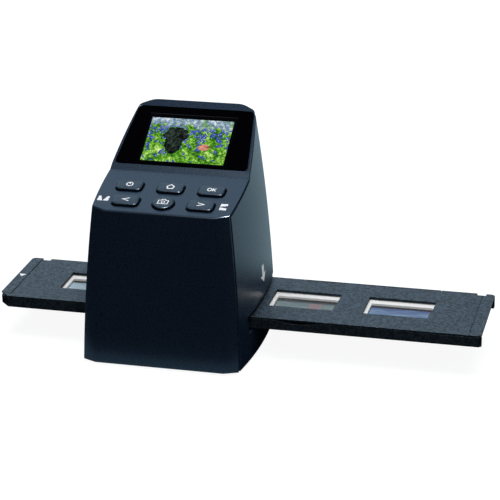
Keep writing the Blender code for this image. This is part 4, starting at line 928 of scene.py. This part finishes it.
def parts(tree, vector):
    """A vector's X, Y and Z."""
    return node(tree, "ShaderNodeSeparateXYZ", Vector=vector).outputs


def bump(tree, height, depth, strength=1.0):
    made = node(tree, "ShaderNodeBump", Strength=strength, Distance=depth, Height=height)
    return made.outputs["Normal"]


def new_material(name):
    """A material, its node tree, its Principled shader and its object coordinates."""
    made = bpy.data.materials.new(name)
    made.use_nodes = True
    tree = made.node_tree
    coordinates = node(tree, "ShaderNodeTexCoord").outputs["Object"]
    return made, tree, tree.nodes["Principled BSDF"], coordinates


def moulded(name, dark, light, roughness, grain, depth, tint=COOL_TINT, painted_shade_upward=None,
            deepest_painted_shade=PAINTED_SHADE_LEAST_TONE, flecks=None):
    """Moulded plastic: grain of some size and depth, dark in its hollows and light on its peaks.
    With the upward direction given, walls that turn away from it get painted shade, as dark as a
    gap, and lose their gloss.
    With flecks given, the surface is sprinkled with spots of that size."""
    made, tree, shader, place = new_material(name)
    fine = noise(tree, place, 1 / grain, GRAIN_DETAIL, GRAIN_ROUGHNESS)
    broad = noise(tree, place, CLOUD_SCALE, detail=1.0)
    if flecks:
        cells = node(tree, "ShaderNodeTexVoronoi", Vector=place, Scale=1 / flecks).outputs["Color"]
        spot = node(tree, "ShaderNodeSeparateColor", Color=cells).outputs[0]
        grains = times(tree, fine, 1 - FLECK_SHARE)
        shade = maths(tree, "ADD", grains, times(tree, spot, FLECK_SHARE))
        colour = steps(tree, shade, ((0.30, dark), (0.70, light)))
    else:
        colour = steps(tree, fine, ((0.38, dark), (0.62, light)))
    tone = linear(tree, broad, CLOUD_SHARE, CLOUD_BASE)
    gloss = PLASTIC_GLOSS
    # Painted shade: walls that turn away from the upward direction are darkened and lose their
    # gloss, as if shaded in a gap.
    if painted_shade_upward:
        normal = node(tree, "ShaderNodeNewGeometry").outputs["Normal"]
        facing = node(tree, "ShaderNodeVectorMath", {"operation": "DOT_PRODUCT"}, _0=normal,
                      _1=painted_shade_upward).outputs["Value"]
        painted_shade_factor = maths(tree, "MAXIMUM", ramp(tree, facing, PAINTED_SHADE_FROM, PAINTED_SHADE_FADE), deepest_painted_shade)
        tone = times(tree, tone, painted_shade_factor)
        gloss = times(tree, painted_shade_factor, GLOSS_OUT_OF_PAINTED_SHADE)
    toned = node(tree, "ShaderNodeVectorMath", {"operation": "SCALE"}, _0=colour, Scale=tone)
    feed(tree, shader, Base_Color=toned.outputs[0], Specular_IOR_Level=gloss,
         Specular_Tint=(*tint, 1), Roughness=uneven(tree, fine, roughness, GRAIN_GLOSS_SPREAD),
         Normal=bump(tree, fine, depth))
    return made


def plain(name, colour, roughness, glow=0.0):
    """A smooth surface, slightly uneven in colour, gloss and relief. Glow is the share of its
    colour that it gives off as painted light, though the surface is no lamp."""
    made, tree, shader, place = new_material(name)
    fine = noise(tree, place, 1 / SKIN_GRAIN)
    dark = tuple(c * SKIN_DARK for c in colour)
    feed(tree, shader, Base_Color=steps(tree, fine, ((0.3, dark), (0.7, colour))),
         Roughness=uneven(tree, fine, roughness, SKIN_GLOSS_SPREAD),
         Normal=bump(tree, fine, SKIN_DEPTH, SKIN_RELIEF), Emission_Color=(*colour, 1),
         Emission_Strength=glow)
    return made


def brushed(name, colour):
    """Plated metal with fine lines along X."""
    made, tree, shader, place = new_material(name)
    stretched = node(tree, "ShaderNodeMapping", Vector=place, Scale=PLATING_STRETCH).outputs[0]
    lines = noise(tree, stretched, 1.0, detail=3.0)
    dark = tuple(c * PLATING_DARK for c in colour)
    feed(tree, shader, Base_Color=steps(tree, lines, ((0.3, dark), (0.7, colour))),
         Roughness=uneven(tree, lines, 0.32, 0.2), Metallic=1.0)
    return made


def board_material():
    """Green lacquer over copper traces."""
    made, tree, shader, place = new_material("board_lacquer")
    settings = {"feature": "DISTANCE_TO_EDGE", "distance": "CHEBYCHEV"}
    cells = node(tree, "ShaderNodeTexVoronoi", settings, Vector=place, Scale=TRACE_SCALE)
    edges = cells.outputs["Distance"]
    colour = steps(tree, edges, ((0.05, (0.05, 0.26, 0.10)), (0.09, (0.012, 0.10, 0.035))))
    feed(tree, shader, Base_Color=colour, Roughness=0.3, Normal=bump(tree, edges, TRACE_DEPTH, 0.4))
    return made


def glass_material():
    """Black behind clear gloss, a shade lighter where the panel lies under it."""
    made, tree, shader, place = new_material("screen_gloss")
    across, height = parts(tree, place)[:2]
    beside = near(tree, across, 0.0, PANEL_HALF_WIDTH)
    panel = times(tree, beside, near(tree, height, PANEL_MIDDLE, PANEL_HALF_HEIGHT))
    line = times(tree, beside, near(tree, height, PANEL_LINE, PANEL_LINE_HALF))
    base = mix(tree, panel, (0.0012, 0.0012, 0.002), (0.0022, 0.0024, 0.0036))
    feed(tree, shader, Base_Color=mix(tree, line, base, (0.02, 0.02, 0.025)),
         Roughness=SCREEN_ROUGHNESS, Specular_IOR_Level=SCREEN_GLOSS)
    return made


def ellipse(tree, across, height, form, ripple):
    """1 inside an uneven ellipse of the picture, 0 outside."""
    middle, half = form
    x = linear(tree, across, 1 / half[0], -middle[0] / half[0])
    y = linear(tree, height, 1 / half[1], -middle[1] / half[1])
    reach = maths(tree, "ADD", times(tree, x, x), times(tree, y, y))
    return maths(tree, "LESS_THAN", maths(tree, "ADD", reach, ripple), 1.0)


def meadow(tree, place, grass, drift, share):
    """Grass with drifts of blue flowers, and pale haze over its far edge."""
    greens = steps(tree, grass, ((0.36, (0.008, 0.04, 0.008)), (0.46, (0.04, 0.20, 0.012)),
                                 (0.55, (0.20, 0.52, 0.03)), (0.66, (0.75, 0.90, 0.36))))
    cells = node(tree, "ShaderNodeTexVoronoi", Vector=place, Scale=FLOWER_SCALE)
    flowers = cells.outputs["Distance"]
    in_drift = maths(tree, "GREATER_THAN", drift, linear(tree, share, -0.22, 0.60))
    petals = times(tree, in_drift, maths(tree, "LESS_THAN", flowers, PETAL_REACH))
    violet = steps(tree, flowers, ((0.02, (0.75, 0.80, 1.0)), (0.22, (0.10, 0.14, 0.62)),
                                   (0.50, (0.015, 0.03, 0.22))))
    mist = noise(tree, place, MIST_SCALE, 4.0, 0.7)
    haze = steps(tree, mist, ((0.38, (0.10, 0.18, 0.26)), (0.50, (0.30, 0.42, 0.52)),
                              (0.62, (0.80, 0.86, 0.90))))
    far = linear(tree, share, 4.0, -3.0)
    ragged = maths(tree, "ADD", far, uneven(tree, drift, 0.0, 2.4), clamp=True)
    return mix(tree, ragged, mix(tree, petals, greens, violet), haze)


def picture_material():
    """The lit picture behind gloss: a meadow, a dark bush and a red bed."""
    made, tree, shader, place = new_material("meadow_picture")
    across, height = parts(tree, place)[:2]
    picture_height = PICTURE_HIGH - PICTURE_LOW
    share = linear(tree, height, 1 / picture_height, -PICTURE_LOW / picture_height)
    patches = uneven(tree, noise(tree, place, PATCH_SCALE, 1.0), 0.0, 0.45)
    grass = maths(tree, "ADD", noise(tree, place, GRASS_SCALE, 5.0, 0.8), patches)
    drift = noise(tree, place, DRIFT_SCALE)
    ripple = uneven(tree, noise(tree, place, OUTLINE_SCALE, 3.0), 0.0, 1.6)
    trunk, crown, bed = (ellipse(tree, across, height, form, ripple)
                         for form in (TRUNK, CROWN, RED_BED))
    bush = maths(tree, "MAXIMUM", trunk, crown)
    leaves = steps(tree, grass, ((0.45, (0.002, 0.003, 0.003)), (0.70, (0.05, 0.08, 0.06))))
    reds = steps(tree, grass, ((0.40, (0.30, 0.05, 0.04)), (0.62, (0.85, 0.42, 0.30))))
    planted = mix(tree, bush, meadow(tree, place, grass, drift, share), leaves)
    feed(tree, shader, Emission_Color=mix(tree, bed, planted, reds), Emission_Strength=1.0,
         Base_Color=(0.002, 0.002, 0.002, 1), Roughness=SCREEN_ROUGHNESS,
         Specular_IOR_Level=SCREEN_GLOSS)
    return made


def film_material(name, low, high, patch, patch_share, border_and_shadow_from):
    """A slide's film: black round the frame, partly painted shadow of the mount's far wall at its
    far end, and a soft picture of two tones with a patch.
    """
    made, tree, shader, _ = new_material(name)
    spread = node(tree, "ShaderNodeTexCoord").outputs["Generated"]
    across, along = parts(tree, spread)[:2]
    # Black round the frame; at the far end it reaches further in, as the film's border and a
    # painted shadow of the mount's far wall.
    inside = times(tree, near(tree, across, 0.5, FILM_HALF),
                   maths(tree, "LESS_THAN", along, border_and_shadow_from))
    stretched = node(tree, "ShaderNodeMapping", Vector=spread, Scale=BANK_STRETCH).outputs[0]
    banks = noise(tree, stretched, BANK_SCALE, 4.0)
    level = maths(tree, "SUBTRACT", banks, linear(tree, along, 0.35, -0.17))
    tone = steps(tree, level, ((0.35, low), (0.65, high)))
    spot = times(tree, near(tree, across, SPOT_MIDDLE, SPOT_HALF), patch_share)
    picture = mix(tree, inside, (0.002, 0.003, 0.004), mix(tree, spot, tone, patch))
    feed(tree, shader, Base_Color=picture, Roughness=0.16)
    return made


def paint(piece, made):
    piece.data.materials.clear()
    piece.data.materials.append(made)


def clothe(pieces, made):
    """Give pieces of this scene a material."""
    for piece in pieces:
        paint(piece, made)


def nodes_of(slot):
    """The names of the CAD nodes with this material slot."""
    return [part["node"] for part in frame["record"]["subparts"] if part["material_slot"] == slot]


def dress():
    """Materials for every CAD node by its slot. Returns them, and the one of the prints."""
    casing = moulded("casing_plastic", (0.0080, 0.0185, 0.0420), (0.0115, 0.0255, 0.0560),
                     0.28, 0.0007, 0.000002)
    # Painted shade on the keys' side walls, as dark as the gap round them.
    button_skin = moulded("button_plastic", (0.008, 0.017, 0.034), (0.034, 0.056, 0.092),
                          0.36, 0.0012, 0.00003, painted_shade_upward=DECK_NORMAL)
    # Painted shade on the holder's walls that turn away from the top.
    holder_skin = moulded("holder_plastic", (0.0005, 0.001, 0.004), (0.042, 0.064, 0.092),
                          0.50, 0.0010, 0.00008, painted_shade_upward=(0, 0, 1), deepest_painted_shade=0.35, flecks=0.0011)
    rubber = moulded("foot_rubber", (0.006, 0.006, 0.006), (0.02, 0.02, 0.02),
                     0.8, 0.0005, 0.00004, tint=GREY_TINT)
    # Painted light: the prints glow a little so that they look whiter.
    print_white = plain("print_white", (0.93, 0.96, 1.0), 0.5, glow=0.15)
    looks = {"casing": casing, "button": button_skin, "holder": holder_skin, "rubber": rubber,
             "glass": glass_material(), "picture": plain("panel_back", (0.02, 0.02, 0.022), 0.4),
             "steel": brushed("plated_steel", (0.56, 0.57, 0.60)), "board": board_material(),
             "chip": plain("chip_resin", (0.015, 0.015, 0.018), 0.45),
             "inner": plain("inner_plastic", (0.012, 0.012, 0.014), 0.7),
             "diffuser": plain("opal_plastic", (0.82, 0.83, 0.85), 0.4),
             "lens": plain("coated_glass", (0.02, 0.03, 0.06), 0.05),
             # Painted light: the mounts glow a little so that they look whiter.
             "mount": plain("mount_plastic", (0.96, 0.96, 0.96), 0.45, glow=0.14),
             "film": film_material("film_grey_green", (0.07, 0.11, 0.11), (0.16, 0.21, 0.20),
                                   (0.34, 0.12, 0.12), 0.55, 0.62),
             "cable": plain("amber_film", (0.50, 0.27, 0.06), 0.35)}
    for slot, made in looks.items():
        for name in nodes_of(slot):
            paint(frame["nodes"][name], made)
    films = (("slide_film_1", (0.26, 0.36, 0.44), (0.44, 0.56, 0.64), (0.35, 0.42, 0.47)),
             ("slide_film_4", (0.03, 0.06, 0.22), (0.14, 0.24, 0.40), (0.22, 0.28, 0.36)))
    for name, low, high, patch in films:
        film = film_material(name + "_tone", low, high, patch, 0.0, 0.70)
        paint(frame["nodes"][name], film)
    return looks, print_white


# Studio and camera

AMBIENT = 0.20
AMBIENT_COLOUR = (0.92, 0.96, 1.0, 1)
WHITE = (1, 1, 1, 1)
WORLD_GLOSS = (0.70, 0.88, 1.0, 1)
GLOW_FROM = 0.25  # the glow rises backward from here, and leftward from here
GLOW_FADE = 0.40
FLOOR_HALF = 4.0
FLOOR_THICKNESS = 0.02
FLOOR_COLOUR = (0.22, 0.23, 0.24, 1)
FLOOR_GLOSS = (0.62, 0.88, 1.0, 1)
FLOOR_SHINE = 0.92  # to the camera, and the rest of white from far off
SHINE_FROM = 0.25
SHINE_FADE = 0.40
GLOSS_FROM = 0.095  # the floor behind the object, as gloss shows it
GLOSS_FADE = 0.04
GLOSS_LEVEL = 0.55
FAR_GLOSS_FROM = 0.30
FAR_GLOSS_FADE = 0.30
FAR_GLOSS_GAIN = 0.35
FOOT_STRIP_Y = -0.058  # the strip of floor that the body's foot mirrors
FOOT_STRIP_HALF = 0.014
FOOT_STRIP_LEVEL = 0.6
LAMP_TARGET = (0.0, 0.0, 0.06)

# The camera, as fitted to the photo
CAMERA_PLACE = Vector((0.2568, -0.9856, 0.4586))
CAMERA_FORWARD = Vector((-0.22928, 0.90146, -0.36715))
CAMERA_ROLL = math.radians(-0.884)
CAMERA_LENS = 138.6
SENSOR_WIDTH = 36.0
NEAREST_SEEN = 0.01


def by_ray(tree, diffuse, gloss, camera_look):
    """One shader for diffuse light, one for gloss and glass, and one for the camera."""
    path = node(tree, "ShaderNodeLightPath").outputs
    mirrored = maths(tree, "MAXIMUM", path["Is Glossy Ray"], path["Is Transmission Ray"])
    bounced = node(tree, "ShaderNodeMixShader", _0=mirrored, _1=diffuse.outputs[0],
                   _2=gloss.outputs[0])
    chosen = node(tree, "ShaderNodeMixShader", _0=path["Is Camera Ray"], _1=bounced.outputs[0],
                  _2=camera_look.outputs[0])
    return chosen.outputs[0]


def world():
    """White to the camera, a cool glow behind the object in gloss, a dim grey in diffuse light."""
    made = bpy.data.worlds.new("studio")
    bpy.context.scene.world = made
    made.use_nodes = True
    tree = made.node_tree
    tree.nodes.clear()
    direction = node(tree, "ShaderNodeTexCoord").outputs["Generated"]
    right, back = parts(tree, direction)[:2]
    behind = ramp(tree, back, GLOW_FROM, GLOW_FADE)
    beside = ramp(tree, times(tree, right, -1.0), -GLOW_FROM, GLOW_FADE)
    glow = times(tree, behind, beside)
    ambient = node(tree, "ShaderNodeBackground", Color=AMBIENT_COLOUR, Strength=AMBIENT)
    cool = node(tree, "ShaderNodeBackground", Color=WORLD_GLOSS, Strength=glow)
    white = node(tree, "ShaderNodeBackground", Color=WHITE, Strength=1.0)
    node(tree, "ShaderNodeOutputWorld", Surface=by_ray(tree, ambient, cool, white))


def floor():
    """White to the camera with the object's shadow, and in gloss bright behind the object only."""
    made = box("floor", (-FLOOR_HALF, -FLOOR_HALF, -FLOOR_THICKNESS), (FLOOR_HALF, FLOOR_HALF, 0.0))
    skin = bpy.data.materials.new("pale_floor")
    skin.use_nodes = True
    tree = skin.node_tree
    tree.nodes.clear()
    place = node(tree, "ShaderNodeNewGeometry").outputs["Position"]
    y = parts(tree, place)[1]
    level = linear(tree, ramp(tree, y, FAR_GLOSS_FROM, FAR_GLOSS_FADE), FAR_GLOSS_GAIN, GLOSS_LEVEL)
    far_share = times(tree, ramp(tree, y, GLOSS_FROM, GLOSS_FADE), level)
    near_share = times(tree, near(tree, y, FOOT_STRIP_Y, FOOT_STRIP_HALF), FOOT_STRIP_LEVEL)
    behind = maths(tree, "MAXIMUM", far_share, near_share)
    reach = node(tree, "ShaderNodeVectorMath", {"operation": "LENGTH"}, _0=place).outputs["Value"]
    shine_level = linear(tree, ramp(tree, reach, SHINE_FROM, SHINE_FADE), 1 - FLOOR_SHINE,
                         FLOOR_SHINE)
    lit = node(tree, "ShaderNodeBsdfDiffuse", Color=FLOOR_COLOUR)
    shine = node(tree, "ShaderNodeEmission", Color=WHITE, Strength=shine_level)
    shown = node(tree, "ShaderNodeAddShader", _0=lit.outputs[0], _1=shine.outputs[0])
    cool = node(tree, "ShaderNodeEmission", Color=FLOOR_GLOSS, Strength=behind)
    node(tree, "ShaderNodeOutputMaterial", Surface=by_ray(tree, lit, cool, shown))
    made.data.materials.append(skin)


def area_light(name, place, width, height, power, glossy=True, diffuse=True):
    """A lamp that faces the object, with its light left out of gloss or of diffuse light."""
    light = bpy.data.lights.new(name, "AREA")
    light.shape = "RECTANGLE"
    light.size = width
    light.size_y = height
    light.energy = power
    lamp = bpy.data.objects.new(name, light)
    bpy.context.scene.collection.objects.link(lamp)
    lamp.location = place
    aim = Vector(LAMP_TARGET) - Vector(place)
    lamp.rotation_euler = aim.to_track_quat("-Z", "Y").to_euler()
    lamp.visible_glossy = glossy
    lamp.visible_diffuse = diffuse


def lights():
    area_light("overhead", (-0.05, 0.25, 1.3), 1.4, 0.9, 14.0, glossy=False)
    area_light("edge_glint", (0.25, -0.53, 1.10), 0.20, 0.20, 50.0, diffuse=False)


def camera():
    made = bpy.data.cameras.new("camera")
    made.lens = CAMERA_LENS
    made.sensor_width = SENSOR_WIDTH
    made.clip_start = NEAREST_SEEN
    view = bpy.data.objects.new("camera", made)
    bpy.context.scene.collection.objects.link(view)
    forward = CAMERA_FORWARD.normalized()
    level = forward.cross(Vector((0, 0, 1))).normalized()
    up = level.cross(forward)
    right = level * math.cos(CAMERA_ROLL) + up * math.sin(CAMERA_ROLL)
    turn = Matrix((right, right.cross(forward), -forward)).transposed()
    view.matrix_world = Matrix.Translation(CAMERA_PLACE) @ turn.to_4x4()
    bpy.context.scene.camera = view


def main():
    looks, print_white = dress()
    clothe([front_cover(), rear_housing()], looks["casing"])
    clothe([button(*row) for row in BUTTONS], looks["button"])
    glass, pane = screen_glass()
    clothe([glass], looks["glass"])
    clothe([pane], picture_material())
    clothe([softened("holder_lid", "holder_lid_skin", LID_ROUNDING),
            softened("holder_tray", "holder_tray_skin", TRAY_ROUNDING)], looks["holder"])
    clothe([slide_mount(name) for name in nodes_of("mount")], looks["mount"])
    clothe(prints(), print_white)
    world()
    floor()
    lights()
    camera()
    bpy.context.scene.view_settings.view_transform = "Standard"


main()
